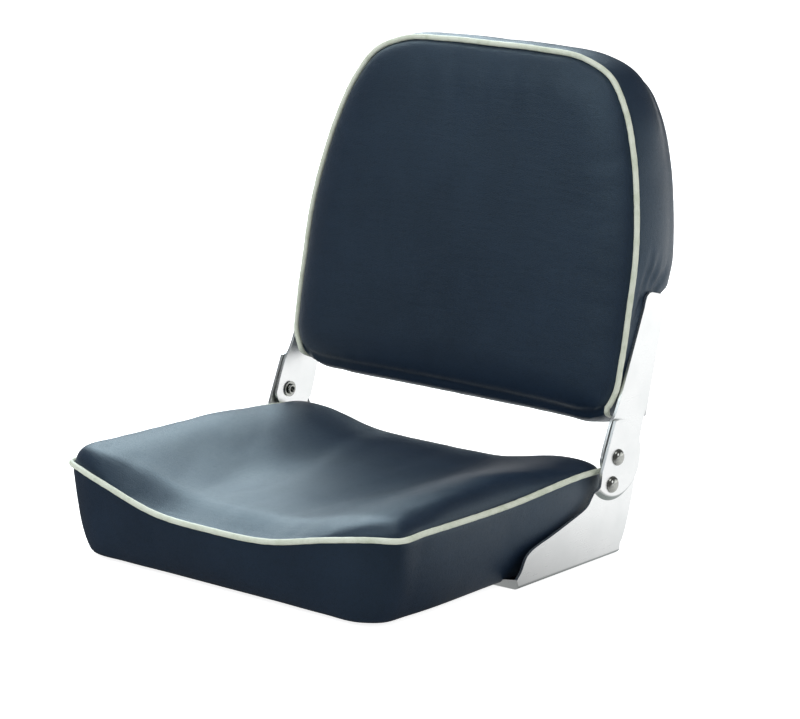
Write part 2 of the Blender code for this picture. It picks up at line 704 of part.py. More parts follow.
# Bracket
def bracket_outline():
    """Ear and foot in the side view, relative to the pivot, clockwise from the ear's front top."""
    top_front = math.atan2(EAR_CUT[0][1], EAR_CUT[0][0])
    ear = arc((0, 0), EAR_RADIUS, top_front, math.atan2(BRACKET_BACK[-1][1], BRACKET_BACK[-1][0]))
    bottom = -PIVOT_Z - GAP - SHEET
    rear = BRACKET_REAR - PIVOT_Y
    front = BRACKET_FRONT - PIVOT_Y
    foot = [(rear, bottom + 2 * BEND_RADIUS), (rear - BEND_RADIUS / 2, bottom + BEND_RADIUS)]
    toe = [(front, bottom + BEND_RADIUS), (front, bottom + 2 * BEND_RADIUS)]
    return [*ear, *BRACKET_BACK[-2::-1], *foot, *toe, *BRACKET_EDGE[::-1], *EAR_CUT[:0:-1]]


def bracket(name):
    """Right-hand bracket: web with a dished ear, bent in under the board."""
    reach = PIVOT_Z + PIVOT_Y
    rim = EAR_RADIUS + JOGGLE
    bore = PIVOT_SHANK_RADIUS + GAP
    profile = [(bore, EAR_OUTER), (EAR_RADIUS, EAR_OUTER), (rim, ARM_OUTER), (reach, ARM_OUTER),
               (reach, WEB_INNER), (rim, WEB_INNER), (EAR_RADIUS, EAR_INNER), (bore, EAR_INNER)]
    obj = turned(name, profile, rivet_place(PIVOT, 0), 2 * ROUND_STEPS, closed=True)
    shape = side_plate("bracket_shape", bracket_outline(), WEB_INNER - SHEET, EAR_OUTER + SHEET)
    boolean(obj, shape, "INTERSECT")
    stop = PIVOT + STOP
    start, end = (stop + Vector((x, 0, 0)) for x in (WEB_INNER, EAR_OUTER + OVERRUN))
    boolean(obj, rod("stop_hole", STOP_SHANK_RADIUS + GAP, start, end, SMALL_STEPS))
    lip = bend_section(ARM_OUTER, -GAP - SHEET, -BRACKET_FLANGE, 2 * BEND_RADIUS)
    place = Matrix.Translation((0, (BRACKET_FRONT + BRACKET_REAR) / 2, 0)) @ Matrix.Rotation(QUARTER, 4, "X")
    foot = outline_plate("bracket_foot", lip, BRACKET_REAR - BRACKET_FRONT, place)
    for number, (x, y) in enumerate(bracket_screw_places()):
        cone = [(0, OVERRUN), (SCREW_HEAD_RADIUS + OVERRUN, OVERRUN), (SCREW_HEAD_RADIUS + GAP, 0),
                (SCREW_RADIUS + GAP, -SCREW_HEAD_HEIGHT - GAP), (SCREW_RADIUS + GAP, -SHEET - OVERRUN),
                (0, -SHEET - OVERRUN)]
        boolean(foot, turned(f"bracket_countersink_{number}", cone, screw_from_below(x, y), SMALL_STEPS))
    boolean(obj, foot, "UNION")
    return obj


def bend_section(outer, under, width, rise):
    """Section of a right-angle bend in sheet, from the flange's edge round to the web's top edge."""
    inside = BEND_RADIUS - SHEET
    sign = 1 if width < 0 else -1
    centre = (outer - sign * BEND_RADIUS, under + BEND_RADIUS)
    outside_arc = arc(centre, BEND_RADIUS, -QUARTER, 0, 5)
    inside_arc = arc(centre, inside, 0, -QUARTER, 5)
    return [(outer + width, under), *outside_arc, (outer, under + rise), (outer - SHEET, under + rise),
            *inside_arc, (outer + width, under + SHEET)]


def screw_from_below(x, y):
    """Place of a countersunk screw whose head is flush with the flange's underside."""
    return Matrix.Translation((x, y, -GAP - SHEET)) @ Matrix.Rotation(HALF_TURN, 4, "X")


# Arm
def rear_point(height):
    """Depth of the backrest's rear face, this far up its front face."""
    return BACK_DEPTH + (height - BACK_BOTTOM) * math.tan(REAR_LEAN)


def flange_line(depth_behind, up):
    """A point in the side view, relative to the pivot, behind the backrest's rear face."""
    depth = rear_point(up) + depth_behind
    y = BACK_SETBACK + depth * math.cos(BACK_LEAN) + up * math.sin(BACK_LEAN)
    z = up * math.cos(BACK_LEAN) - depth * math.sin(BACK_LEAN)
    return y, z


def arm_outline():
    """The arm in the side view, relative to the pivot: up its front, down its rear, round the heel."""
    low = flange_line(GAP + SHEET, BACK_BOTTOM + (ARM_FLANGE_BOTTOM - BACK_BOTTOM))
    slope_y, slope_z = flange_line(GAP + SHEET, BACK_TOP)
    share = (ARM_TOP - low[1]) / (slope_z - low[1])
    high = (low[0] + (slope_y - low[0]) * share, ARM_TOP)
    shift = (STOP_BUSH_RADIUS + GAP) / STOP_DISTANCE
    face = (-STOP.z * shift, STOP.y * shift)
    toward = (STOP.y / STOP_DISTANCE, STOP.z / STOP_DISTANCE)
    inner = math.sqrt(ARM_NOSE_RADIUS**2 - (STOP_BUSH_RADIUS + GAP)**2)
    outer = math.sqrt(HEEL_RADIUS**2 - (STOP_BUSH_RADIUS + GAP)**2)
    throat = (face[0] + toward[0] * inner, face[1] + toward[1] * inner)
    heel = (face[0] + toward[0] * outer, face[1] + toward[1] * outer)
    nose = arc((0, 0), ARM_NOSE_RADIUS, HALF_TURN, 2 * math.pi + math.atan2(throat[1], throat[0]), 10)
    tail = ARM_REAR[-1]
    back = arc((0, 0), HEEL_RADIUS, math.atan2(heel[1], heel[0]), math.atan2(tail[1], tail[0]) - 0.12, 10)
    front = [*ARM_FRONT[::-1][:-1]]
    return [*back, *ARM_REAR[::-1], low, high, *ARM_FRONT_CORNER[::-1], *front, *nose]


def arm_flange_place():
    """Frame of the flange's front face: X across, Y up along it, Z towards the rear."""
    start = flange_line(GAP, 0)
    end = flange_line(GAP, BACK_TOP)
    lean = math.atan2(end[0] - start[0], end[1] - start[1])
    origin = PIVOT + Vector((0, start[0], start[1]))
    return Matrix.Translation(origin) @ Matrix.Rotation(QUARTER - lean, 4, "X")


def arm_screw_place(x, height):
    """A screw whose head seats on the flange's rear face."""
    return arm_flange_place() @ Matrix.Translation((x, height, -SHEET)) @ Matrix.Rotation(HALF_TURN, 4, "X")


def arm(name):
    """Right-hand arm: a flat web, bent in behind the backrest from its lower end to its top."""
    obj = side_plate(name, arm_outline(), WEB_INNER, ARM_OUTER)
    inside = BEND_RADIUS - SHEET
    length = math.hypot(*np.subtract(flange_line(GAP, BACK_TOP), flange_line(GAP, 0)))
    top = (ARM_TOP - flange_line(GAP, 0)[1]) / math.cos(BACK_LEAN + REAR_LEAN)
    section = bend_section(ARM_OUTER, 0, -ARM_FLANGE, BEND_RADIUS + inside)
    place = arm_flange_place()
    lip = outline_plate("arm_flange", [(x, SHEET - y) for x, y in section][::-1], length, place_section(place, length))
    trim = flange_trim("arm_flange_shape", place, ARM_FLANGE_BOTTOM, top)
    boolean(lip, trim, "INTERSECT")
    boolean(obj, lip, "UNION")
    start = PIVOT + Vector((WEB_INNER - OVERRUN, 0, 0))
    end = PIVOT + Vector((ARM_OUTER + OVERRUN, 0, 0))
    boolean(obj, rod("arm_pivot_hole", PIVOT_SHANK_RADIUS + GAP, start, end, ROUND_STEPS))
    for number, height in enumerate(ARM_SCREW_HEIGHTS):
        place = arm_screw_place(ARM_OUTER - ARM_SCREW_INSET, height)
        hole = rod(f"arm_screw_hole_{number}", SCREW_RADIUS + GAP, (0, 0, -SHEET - OVERRUN), (0, 0, OVERRUN))
        hole.matrix_world = place
        boolean(obj, hole)
    return obj


def place_section(place, length):
    """Turns a section drawn in X and depth so that it runs up the flange."""
    turn = Matrix(((1, 0, 0, 0), (0, 0, 1, length / 2), (0, -1, 0, 0), (0, 0, 0, 1)))
    return place @ turn


def flange_trim(name, place, bottom, top):
    """What is kept of the flange: its height, with a rounded lower corner and a level top."""
    edge = ARM_OUTER - ARM_FLANGE
    corner = arc((edge + ARM_FLANGE_CORNER, bottom + ARM_FLANGE_CORNER), ARM_FLANGE_CORNER,
                 HALF_TURN, HALF_TURN + QUARTER, 5)
    upper = arc((edge + ARM_FLANGE_CORNER, top - ARM_FLANGE_CORNER), ARM_FLANGE_CORNER,
                QUARTER, HALF_TURN, 5)
    outline = [*corner, (ARM_OUTER + OVERRUN, bottom), (ARM_OUTER + OVERRUN, top), *upper]
    return outline_plate(name, outline, 4 * BEND_RADIUS, place)


# Rivets, washers and the stop
def rivet_place(centre, x):
    """Frame with Z outwards along X, at this X."""
    return Matrix.Translation(centre + Vector((x, 0, 0))) @ Matrix.Rotation(QUARTER, 4, "Y")


def rivet(name, centre, shank, inner_face):
    """A domed head on the ear, a shank inwards and an end rolled over the inner face."""
    start = GAP
    length = EAR_OUTER - inner_face
    dome = [(RIVET_HEAD_RADIUS * math.sin(a), start + RIVET_HEAD_HEIGHT * math.cos(a))
            for a in np.linspace(0, QUARTER, 5)]
    roll = ROLL_HEIGHT / 2
    low = -length - GAP
    middle = (ROLL_RADIUS + ROLL_BORE) / 2
    profile = [*dome, (RIVET_HEAD_RADIUS, start), (shank, start), (shank, low), (ROLL_RADIUS - GAP, low),
               (ROLL_RADIUS, low - roll), (middle, low - ROLL_HEIGHT), (ROLL_BORE, low - roll),
               (ROLL_BORE, low + roll), (0, low + roll)]
    profile = profile[:len(dome)] + profile[len(dome) + 1:]
    return finish(turned(name, profile, rivet_place(centre, EAR_OUTER)), STEEL, 0.22, 1.0)


def ring(name, bore, radius, inner, outer, centre, steps=ROUND_STEPS):
    """A flat ring between two X planes."""
    thickness = outer - inner
    profile = [(bore, thickness), (radius, thickness), (radius, 0), (bore, 0)]
    return turned(name, profile, rivet_place(centre, inner), steps, closed=True)


def pivots():
    """Right-hand pivot and stop, and their left-hand copies."""
    washer_outer = WEB_INNER - GAP
    washer_inner = washer_outer - WASHER_THICKNESS
    bush_inner = WEB_INNER - GAP
    made = [
        rivet("pivot_rivet_right", PIVOT, PIVOT_SHANK_RADIUS, washer_inner),
        finish(ring("pivot_spacer_right", PIVOT_SHANK_RADIUS + GAP, SPACER_RADIUS, ARM_OUTER + GAP,
                    EAR_INNER - GAP, PIVOT), NYLON, 0.5),
        finish(ring("pivot_washer_right", PIVOT_SHANK_RADIUS + GAP, WASHER_RADIUS, washer_inner,
                    washer_outer, PIVOT), STEEL, 0.25, 1.0),
        rivet("stop_rivet_right", PIVOT + STOP, STOP_SHANK_RADIUS, bush_inner),
        finish(ring("stop_bush_right", STOP_SHANK_RADIUS + GAP, STOP_BUSH_RADIUS, bush_inner,
                    EAR_INNER - GAP, PIVOT + STOP, SMALL_STEPS), STEEL, 0.3, 1.0),
    ]
    finishes = {"spacer": (NYLON, 0.5, 0.0)}
    for obj in made:
        left = mirrored(obj, obj.name.replace("right", "left"))
        colour, roughness, metallic = finishes.get(obj.name.split("_")[1], (STEEL, 0.25, 1.0))
        smooth(finish(left, colour, roughness, metallic))


def sheet_metal():
    """Brackets and arms with their screws."""
    for make, name in ((bracket, "lower_bracket"), (arm, "arm")):
        right = make(f"{name}_right")
        left = mirrored(right, f"{name}_left")
        for obj in (right, left):
            smooth(finish(obj, ALUMINIUM, 0.3, 1.0))
    number = 0
    for x, y in bracket_screw_places():
        for side in (1, -1):
            number += 1
            screw(f"bracket_screw_{number}", screw_from_below(side * x, y), countersunk=True)
    number = 0
    for height in ARM_SCREW_HEIGHTS:
        for side in (1, -1):
            number += 1
            place = arm_screw_place(side * (ARM_OUTER - ARM_SCREW_INSET), height)
            screw(f"arm_screw_{number}", place @ Matrix.Translation((0, 0, GAP)), countersunk=False)


# Backrest cushion, drawn as (across, up the face, forward of it) and then put in place
TO_BACK = BACK_FRAME @ Matrix(((1, 0, 0, 0), (0, 0, -1, 0), (0, 1, 0, 0), (0, 0, 0, 1)))
BACK_MIDDLE = (BACK_BOTTOM + BACK_TOP) / 2
REAR_SLOPE = math.tan(REAR_LEAN)
FLAT_WIDTH = ARM_FLANGE + FLAT_MARGIN
# How far up the front face the arms' flanges reach.
ARM_UP = RUN + ((ARM_TOP + (BACK_DEPTH - BACK_BOTTOM * REAR_SLOPE) * math.sin(BACK_LEAN))
                / (math.cos(BACK_LEAN) - REAR_SLOPE * math.sin(BACK_LEAN)))


def back_loop(nose):
    """Outline of the backrest, drawn in along the bottom by the nose."""
    height = BACK_TOP - BACK_BOTTOM
    half = [(BACK_HALF_WIDTH * across, BACK_BOTTOM + height * up + nose * share, 0)
            for (across, up), share in zip(BACK_EDGE_SHARES, NOSE_SHARES)]
    return full_loop(half)


def front_ring(edge, inset):
    """A ring of the front panel, this far in from the piping."""
    x, up = shrunk(edge, BACK_MIDDLE, inset)
    crown = np.broadcast_to(FRONT_CROWN * rounded((inset - WELT) / CROWN_ROLL), x.shape)
    return np.stack([x, up, crown], axis=1)


def rear_depth(x, up, level):
    """Depth of the rear there, on the column of points that meets the edge at this level.

    It stays flat under the arms' flanges and swells out elsewhere.
    """
    share = (up - BACK_BOTTOM) / (BACK_TOP - BACK_BOTTOM)
    full = (BACK_FULL_DEPTH * np.interp(share, *np.transpose(BACK_DEPTH_SHARES))
            + REAR_CROWN * (1 - (x / BACK_HALF_WIDTH) ** 2))
    above = ease((level - ARM_UP - RUN) / BULGE_RUN)
    beside = ease((BACK_HALF_WIDTH - FLAT_WIDTH - abs(x)) / CROWN_ROLL)
    return rear_point(up) + (full - rear_point(up)) * (above + beside - above * beside)


def rear_ring(edge, inset):
    """A ring of the rear panel, this far in from the rear edge."""
    x, up = shrunk(edge, BACK_MIDDLE, inset)
    return np.stack([x, up, -rear_depth(x, up, edge[:, 1])], axis=1)


def boxing_ring(edge, depth_back):
    """A ring of the boxing, this far ahead of the rear edge."""
    ring_points = edge.copy()
    ring_points[:, 2] = depth_back - rear_depth(edge[:, 0], edge[:, 1], edge[:, 1])
    return ring_points


def back_grid(places):
    """The cover's outer surface, from the middle of the rear round to the middle of the front."""
    rear = along(back_loop(0), places)
    front = along(back_loop(BACK_NOSE), places)
    reach = np.hypot(rear[:, 0], rear[:, 1] - BACK_MIDDLE)
    panel = [rear_ring(rear, inset) for inset in (reach * PAST_MIDDLE, reach * PANEL_SHARE,
                                                  FLAT_WIDTH + CROWN_ROLL / 2, FLAT_WIDTH, FLAT_WIDTH / 2)]
    seam = [rear_ring(rear, BACK_CORNER + 1.5 * RUN), rear_ring(rear, BACK_CORNER)]
    tuck = BACK_CORNER * (1 - math.sqrt(0.5))
    corner = [boxing_ring(inward(rear, tuck), tuck), boxing_ring(rear, BACK_CORNER)]
    middle = (rear + front) / 2
    middle[:, 2] = -rear_depth(rear[:, 0], rear[:, 1], rear[:, 1]) / 2
    before = front.copy()
    before[:, :2] = front[:, :2] + (middle[:, :2] - front[:, :2]) * WELT / BACK_DEPTH
    before[:, 2] = -WELT
    sides = [middle, before, front]
    face = [front_ring(front, WELT)]
    rolled = [front_ring(front, WELT + CROWN_ROLL * share) for share in (0.25, 1.0)]
    spread = np.hypot(front[:, 0], front[:, 1] - BACK_MIDDLE)
    inner = [front_ring(front, CROWN_ROLL + (spread - CROWN_ROLL) * share)
             for share in (0.3, 0.65, PAST_MIDDLE)]
    return np.array([*panel, *seam, *corner, *sides, *face, *rolled, *inner])


REAR_SEAM, MID_SIDE, UNDER_WELT, OVER_WELT = 5, 9, 10, 12
HALF_COUNT = len(BACK_EDGE_SHARES)
WELT_START = WELT_START_SHARE * (HALF_COUNT - 1)
SEAM_SHARE = 0.05
PANEL_SHARE = 0.6           # of the way to the middle, where a ring of the rear panel lies
BACK_LOOP = 2 * (HALF_COUNT - 1)
HALF_PLACES = np.linspace(0, HALF_COUNT - 1, ROUND_STEPS * HALF_COUNT)
BULGE_PLACES = np.interp([ARM_UP + RUN + BULGE_RUN * share for share in (0, 0.3, 0.65, 1)],
                         along(back_loop(0), HALF_PLACES)[:, 1], HALF_PLACES)
BACK_PLACES = stations(HALF_COUNT, (WELT_START, WELT_START + SEAM_SHARE, *BULGE_PLACES,
                                    *(BACK_LOOP - BULGE_PLACES), BACK_LOOP - WELT_START - SEAM_SHARE,
                                    BACK_LOOP - WELT_START))


def column_kind(column):
    """Whether a column of faces lies along the bottom, in the seam at its end, or along the welt."""
    start = BACK_PLACES[column]
    end = BACK_PLACES[column + 1] if column + 1 < len(BACK_PLACES) else BACK_LOOP
    middle = min((start + end) / 2, BACK_LOOP - (start + end) / 2)
    if middle < WELT_START:
        return "bottom"
    return "seam" if middle < WELT_START + SEAM_SHARE else "welt"


def in_front_panel(row, column):
    return row >= OVER_WELT or (row > REAR_SEAM and column_kind(column) == "bottom")


def back_cushion():
    grid = back_grid(BACK_PLACES)
    rear = skin("back_rear_panel", grid, lambda row, column: row < REAR_SEAM, TO_BACK)
    for height in ARM_SCREW_HEIGHTS:
        for side in (1, -1):
            hole = rod("cover_hole", SCREW_RADIUS + GAP, (0, 0, -OVERRUN), (0, 0, OVERRUN), SMALL_STEPS)
            hole.matrix_world = (arm_flange_place()
                                 @ Matrix.Translation((side * (ARM_OUTER - ARM_SCREW_INSET), height, GAP)))
            boolean(rear, hole)
    skin("back_boxing", grid,
         lambda row, column: REAR_SEAM < row < UNDER_WELT and column_kind(column) == "welt", TO_BACK)
    skin("back_front_panel", grid, in_front_panel, TO_BACK)
    board = back_board()
    inner = offset(grid, COVER)
    back_pad(offset(grid, COVER + 1.5 * RUN))
    for row in (UNDER_WELT, OVER_WELT):
        inner[row, :, :2] = inward(inner[row], PIPING_RADIUS)[:, :2]
    against = inward(along(back_loop(0), BACK_PLACES), COVER + BACK_CORNER)
    at_cover = COVER + GAP - rear_depth(*against[:, :2].T, along(back_loop(0), BACK_PLACES)[:, 1])
    against[:, 2] = np.maximum(board + GAP - rear_point(against[:, 1]), at_cover)
    rows = [against, inner[MID_SIDE], inner[UNDER_WELT], *inner[OVER_WELT:]]
    rows[-1] = np.repeat(rows[-1].mean(axis=0)[None], len(rows[-1]), axis=0)
    middle = np.repeat(against.mean(axis=0)[None], len(against), axis=0)
    finish(surface("back_foam", [middle, *rows], lambda row, column: True, TO_BACK), FOAM_COLOUR, 0.9)
    welt_places = [place for place in BACK_PLACES
                   if WELT_START < place < BACK_LOOP - WELT_START]
    welt("back_piping", along(back_loop(BACK_NOSE), welt_places), TO_BACK, closed=False)


def back_board():
    """The board behind the backrest's foam, with its inserts. Gives the depth of its front face."""
    edge = inward(along(back_loop(0), BACK_PLACES), BACK_BOARD_INSET)
    edge[:, 1] -= (1 - BACK_BOARD_SHARE) * np.maximum(edge[:, 1] - ARM_UP, 0)
    rear, front = COVER, COVER + BACK_BOARD_THICKNESS
    rings = [edge.copy(), edge.copy()]
    for points, depth in zip(rings, (rear, front)):
        points[:, 2] = [depth - rear_point(up) for up in points[:, 1]]
    board = solid("back_board", rings, TO_BACK)
    number = 0
    for height in ARM_SCREW_HEIGHTS:
        for side in (1, -1):
            number += 1
            x = side * (ARM_OUTER - ARM_SCREW_INSET)
            depth = GAP + COVER + BACK_BOARD_THICKNESS
            place = arm_flange_place() @ Matrix.Translation((x, height, depth))
            insert(f"back_insert_{number}", SCREW_RADIUS, BACK_BOARD_THICKNESS - GAP, place)
            boolean(board, insert_hole(f"back_hole_{number}", SCREW_RADIUS, place, BACK_BOARD_THICKNESS + OVERRUN))
    finish(board, PLASTIC, 0.55)
    return front


def back_pad(rear):
    """The crowned pad between the board and the rear panel, clear of the arms' flanges."""
    flat = rear[2].copy()
    flat[:, 2] = VINYL - rear_point(flat[:, 1])
    finish(solid("back_rear_pad", [rear[1], rear[2], flat], TO_BACK), FOAM_COLOUR, 0.9)


seat_cushion()
seat_board()
sheet_metal()
pivots()
back_cushion()
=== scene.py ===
"""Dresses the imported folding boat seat: padded vinyl cushions, pressed aluminium hinges and their rivets.

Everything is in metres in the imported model's frame: +Z up, +Y towards the backrest, +X to the sitter's left.
"""
from __future__ import annotations

import json
import logging
import math
from dataclasses import dataclass, field
from enum import Enum
from typing import Any, Callable

import bmesh
import bpy
import numpy as np
from mathutils import Matrix, Vector
from mathutils.geometry import delaunay_2d_cdt

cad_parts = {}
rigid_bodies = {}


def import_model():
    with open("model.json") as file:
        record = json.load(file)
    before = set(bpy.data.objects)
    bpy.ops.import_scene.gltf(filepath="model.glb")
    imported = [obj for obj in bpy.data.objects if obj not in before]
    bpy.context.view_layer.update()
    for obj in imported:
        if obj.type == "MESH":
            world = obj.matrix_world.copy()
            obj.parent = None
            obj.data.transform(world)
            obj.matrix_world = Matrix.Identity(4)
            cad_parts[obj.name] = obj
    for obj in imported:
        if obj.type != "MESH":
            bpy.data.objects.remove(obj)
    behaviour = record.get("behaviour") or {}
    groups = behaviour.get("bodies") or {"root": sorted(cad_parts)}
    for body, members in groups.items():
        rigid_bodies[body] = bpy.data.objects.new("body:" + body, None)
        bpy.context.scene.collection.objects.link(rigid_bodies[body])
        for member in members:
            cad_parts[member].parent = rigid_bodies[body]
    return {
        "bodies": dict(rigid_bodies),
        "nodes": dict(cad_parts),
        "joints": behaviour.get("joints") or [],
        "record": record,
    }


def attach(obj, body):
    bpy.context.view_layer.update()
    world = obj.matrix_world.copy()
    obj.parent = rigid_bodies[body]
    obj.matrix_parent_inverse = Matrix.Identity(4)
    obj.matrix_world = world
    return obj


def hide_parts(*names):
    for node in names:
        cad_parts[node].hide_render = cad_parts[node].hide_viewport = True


LOG = logging.getLogger("boat_seat")
Points = np.ndarray
Spot = tuple[float, float]
Place = tuple[float, float, float]
Flat = list[Spot]
RGBA = tuple[float, float, float, float]
Socket = bpy.types.NodeSocket
Inputs = dict[str | int, Any]

MM = 0.001
QUARTER = math.pi / 2
PIVOT = (0, 0.1500, 0.0937)         # the backrest turns about X through here


class Side(Enum):
    """Which side of the seat a handed piece is on, as the sign of its X."""

    RIGHT = 1
    LEFT = -1

    @property
    def word(self) -> str:
        """The side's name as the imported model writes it."""
        return self.name.lower()


def linear(code: str) -> RGBA:
    """Turns an sRGB hex colour into the linear values that Blender's sockets take.

    Args:
        code: six hex digits, with or without a leading hash.

    Returns:
        Linear red, green, blue and a full alpha.
    """
    values = [int(code.lstrip("#")[i:i + 2], 16) / 255 for i in (0, 2, 4)]
    red, green, blue = (v / 12.92 if v <= 0.04045 else ((v + 0.055) / 1.055) ** 2.4 for v in values)
    return red, green, blue, 1.0


def ease(value: Any) -> Any:
    """Smooth step from 0 to 1, clamped outside."""
    value = np.clip(value, 0, 1)
    return value * value * (3 - 2 * value)


def rise(value: Any, start: float, run: float) -> Any:
    """Smooth step that leaves 0 at the start and reaches 1 at the end of its run."""
    return ease((value - start) / run)


def quarter_round(value: Any) -> Any:
    """Height share of a quarter round, from 0 at its edge to 1 where it has run out."""
    return np.sqrt(1 - (1 - np.clip(value, 0, 1)) ** 2)


def hermite(t: Any, start: Points, leaving: Points, end: Points, arriving: Points) -> Points:
    """Points at share t of the cubics from start to end that have these slopes at their ends."""
    return ((2 * t**3 - 3 * t**2 + 1) * start + (t**3 - 2 * t**2 + t) * leaving
            + (3 * t**2 - 2 * t**3) * end + (t**3 - t**2) * arriving)


def wander(places: Any, pitch: float, seed: int) -> Any:
    """A smooth wandering value between about -1 and 1, the same on every run.

    Args:
        places: lengths along a line, in metres.
        pitch: typical length of one wave, in metres.
        seed: chooses one of the possible lines.

    Returns:
        One value for each place.
    """
    rng = np.random.default_rng(seed)
    total = 0.0
    for share in (0.71, 1.0, 1.37, 1.93):
        total = total + np.sin(2 * math.pi * np.asarray(places) * share / pitch + rng.uniform(0, 6.28)) / 4
    return total * 1.6


def link(obj: bpy.types.Object) -> bpy.types.Object:
    """Puts an object into the scene."""
    bpy.context.scene.collection.objects.link(obj)
    return obj


def mesh_object(name: str, points: Any, faces: list[tuple[int, ...]]) -> bpy.types.Object:
    """Makes a mesh object in the scene.

    Args:
        name: the object's name.
        points: vertex places.
        faces: vertex numbers of each face.

    Returns:
        The new object.
    """
    mesh = bpy.data.meshes.new(name)
    mesh.from_pydata([tuple(map(float, p)) for p in points], [], faces)
    mesh.validate()
    return link(bpy.data.objects.new(name, mesh))


def read_mesh(mesh: bpy.types.Mesh) -> tuple[Points, Points]:
    """The places and the normals of a mesh's vertices."""
    return np.array([v.co[:] for v in mesh.vertices]), np.array([v.normal[:] for v in mesh.vertices])


def applied(obj: bpy.types.Object) -> bpy.types.Object:
    """Turns an object's modifiers, or its curve, into plain mesh.

    Args:
        obj: the object, which is replaced when it is a curve.

    Returns:
        The mesh object that carries the result under the same name.
    """
    graph = bpy.context.evaluated_depsgraph_get()
    mesh = bpy.data.meshes.new_from_object(obj.evaluated_get(graph))
    name, place = obj.name, obj.matrix_world.copy()
    if obj.type == "MESH":
        old = obj.data
        obj.modifiers.clear()
        obj.data = mesh
        bpy.data.meshes.remove(old)
        mesh.name = name
        return obj
    bpy.data.objects.remove(obj, do_unlink=True)
    made = link(bpy.data.objects.new(name, mesh))
    made.matrix_world = place
    return made


def bevelled(obj: bpy.types.Object, width: float, angle: float) -> bpy.types.Object:
    """Breaks the sharp edges as a tumbler or a file does, and evens the shading.

    Args:
        obj: the mesh object.
        width: width of the broken edge.
        angle: edges sharper than this are broken, in degrees.

    Returns:
        The same object.
    """
    obj.data.shade_smooth()
    bevel = obj.modifiers.new("edge", "BEVEL")
    bevel.width, bevel.segments = width, 2
    bevel.limit_method, bevel.angle_limit = "ANGLE", math.radians(angle)
    bevel.use_clamp_overlap = True
    normals = obj.modifiers.new("shading", "WEIGHTED_NORMAL")
    normals.keep_sharp = True
    return applied(obj)


def turned(name: str, profile: Flat, place: Matrix, steps: int, closed: bool = False) -> bpy.types.Object:
    """Turns a profile about its Z axis.

    Args:
        name: the object's name.
        profile: radius and height of each point, down the outside.
        place: the finished piece's frame.
        steps: facets round the piece.
        closed: True for a ring, whose last point joins its first.

    Returns:
        The turned piece.
    """
    points, rows = [], []
    for radius, height in profile:
        first = len(points)
        if radius < 1e-7:
            rows.append([first] * steps)
            points.append((0, 0, height))
        else:
            rows.append(list(range(first, first + steps)))
            points += [(radius * math.cos(a), radius * math.sin(a), height)
                       for a in (2 * math.pi * i / steps for i in range(steps))]
    pairs = list(zip(rows, rows[1:])) + ([(rows[-1], rows[0])] if closed else [])
    faces = [tuple(dict.fromkeys((upper[i - 1], lower[i - 1], lower[i], upper[i])))
             for upper, lower in pairs for i in (*range(1, steps), 0)]
    obj = mesh_object(name, points, faces)
    obj.matrix_world = place
    return bevelled(obj, 0.12 * MM, 35)


def feed(node: bpy.types.Node, inputs: Inputs) -> bpy.types.Node:
    """Links or sets a shader node's inputs.

    Args:
        node: the node.
        inputs: another node's output or a constant for each input, by name or by number.

    Returns:
        The same node.
    """
    for name, value in inputs.items():
        if isinstance(value, Socket):
            node.id_data.links.new(value, node.inputs[name])
        else:
            node.inputs[name].default_value = value
    return node


@dataclass
class Shading:
    """The node tree of a material or of the world, with the patterns that it is built from here."""

    owner: bpy.types.Material | bpy.types.World

    def __post_init__(self) -> None:
        """Turns the nodes on."""
        self.owner.use_nodes = True
        self.tree = self.owner.node_tree
        self.spots = self.add("TexCoord").outputs

    def add(self, kind: str, inputs: Inputs | None = None, **settings: Any) -> bpy.types.Node:
        """Adds one shader node.

        Args:
            kind: node type without the leading "ShaderNode".
            inputs: what feeds its inputs.
            settings: the node's own properties.

        Returns:
            The new node.
        """
        node = self.tree.nodes.new("ShaderNode" + kind)
        for name, value in settings.items():
            setattr(node, name, value)
        return feed(node, inputs or {})

    def ramp(self, factor: Socket, low: float, high: float, start: float = 0.0, end: float = 1.0) -> Socket:
        """Maps a factor from one range to another, clamped.

        Args:
            factor: value to map.
            low: value at which the result is start.
            high: value at which the result is end.
            start: first result.
            end: last result.

        Returns:
            The mapped value.
        """
        return self.add("MapRange", {0: factor, 1: low, 2: high, 3: start, 4: end}).outputs[0]

    def math(self, operation: str, first: Socket, second: Socket | float) -> Socket:
        """The result of arithmetic on two values."""
        return self.add("Math", {0: first, 1: second}, operation=operation).outputs[0]

    def noise(self, scale: float, detail: float, **more: Any) -> Socket:
        """A noise value at the object's own places, or at those that a Vector gives."""
        return self.add("TexNoise", {"Vector": self.spots["Object"], "Scale": scale, "Detail": detail,
                                     **more}).outputs[0]

    def mix(self, factor: Socket, first: str | Socket, second: str) -> Socket:
        """A colour between two, each of them a hex colour or a socket."""
        colors = [linear(color) if isinstance(color, str) else color for color in (first, second)]
        return self.add("Mix", {0: factor, 6: colors[0], 7: colors[1]}, data_type="RGBA").outputs[2]

    def bump(self, height: Socket, strength: float, distance: float, **more: Any) -> Socket:
        """A normal that leans with a height, whose full step is this many metres."""
        return self.add("Bump", {"Height": height, "Strength": strength, "Distance": distance,
                                 **more}).outputs[0]

    def rays(self) -> tuple[Socket, Socket]:
        """Tells rays that show a surface to the camera, and rays that mirror it."""
        path = self.add("LightPath").outputs
        return self.math("MAXIMUM", path["Is Camera Ray"], path["Is Transmission Ray"]), path["Is Glossy Ray"]

    def finished(self, inputs: Inputs, shader: str = "Principled BSDF") -> bpy.types.Material | bpy.types.World:
        """Feeds the shader and hands the material or the world over."""
        feed(self.tree.nodes[shader], inputs)
        return self.owner


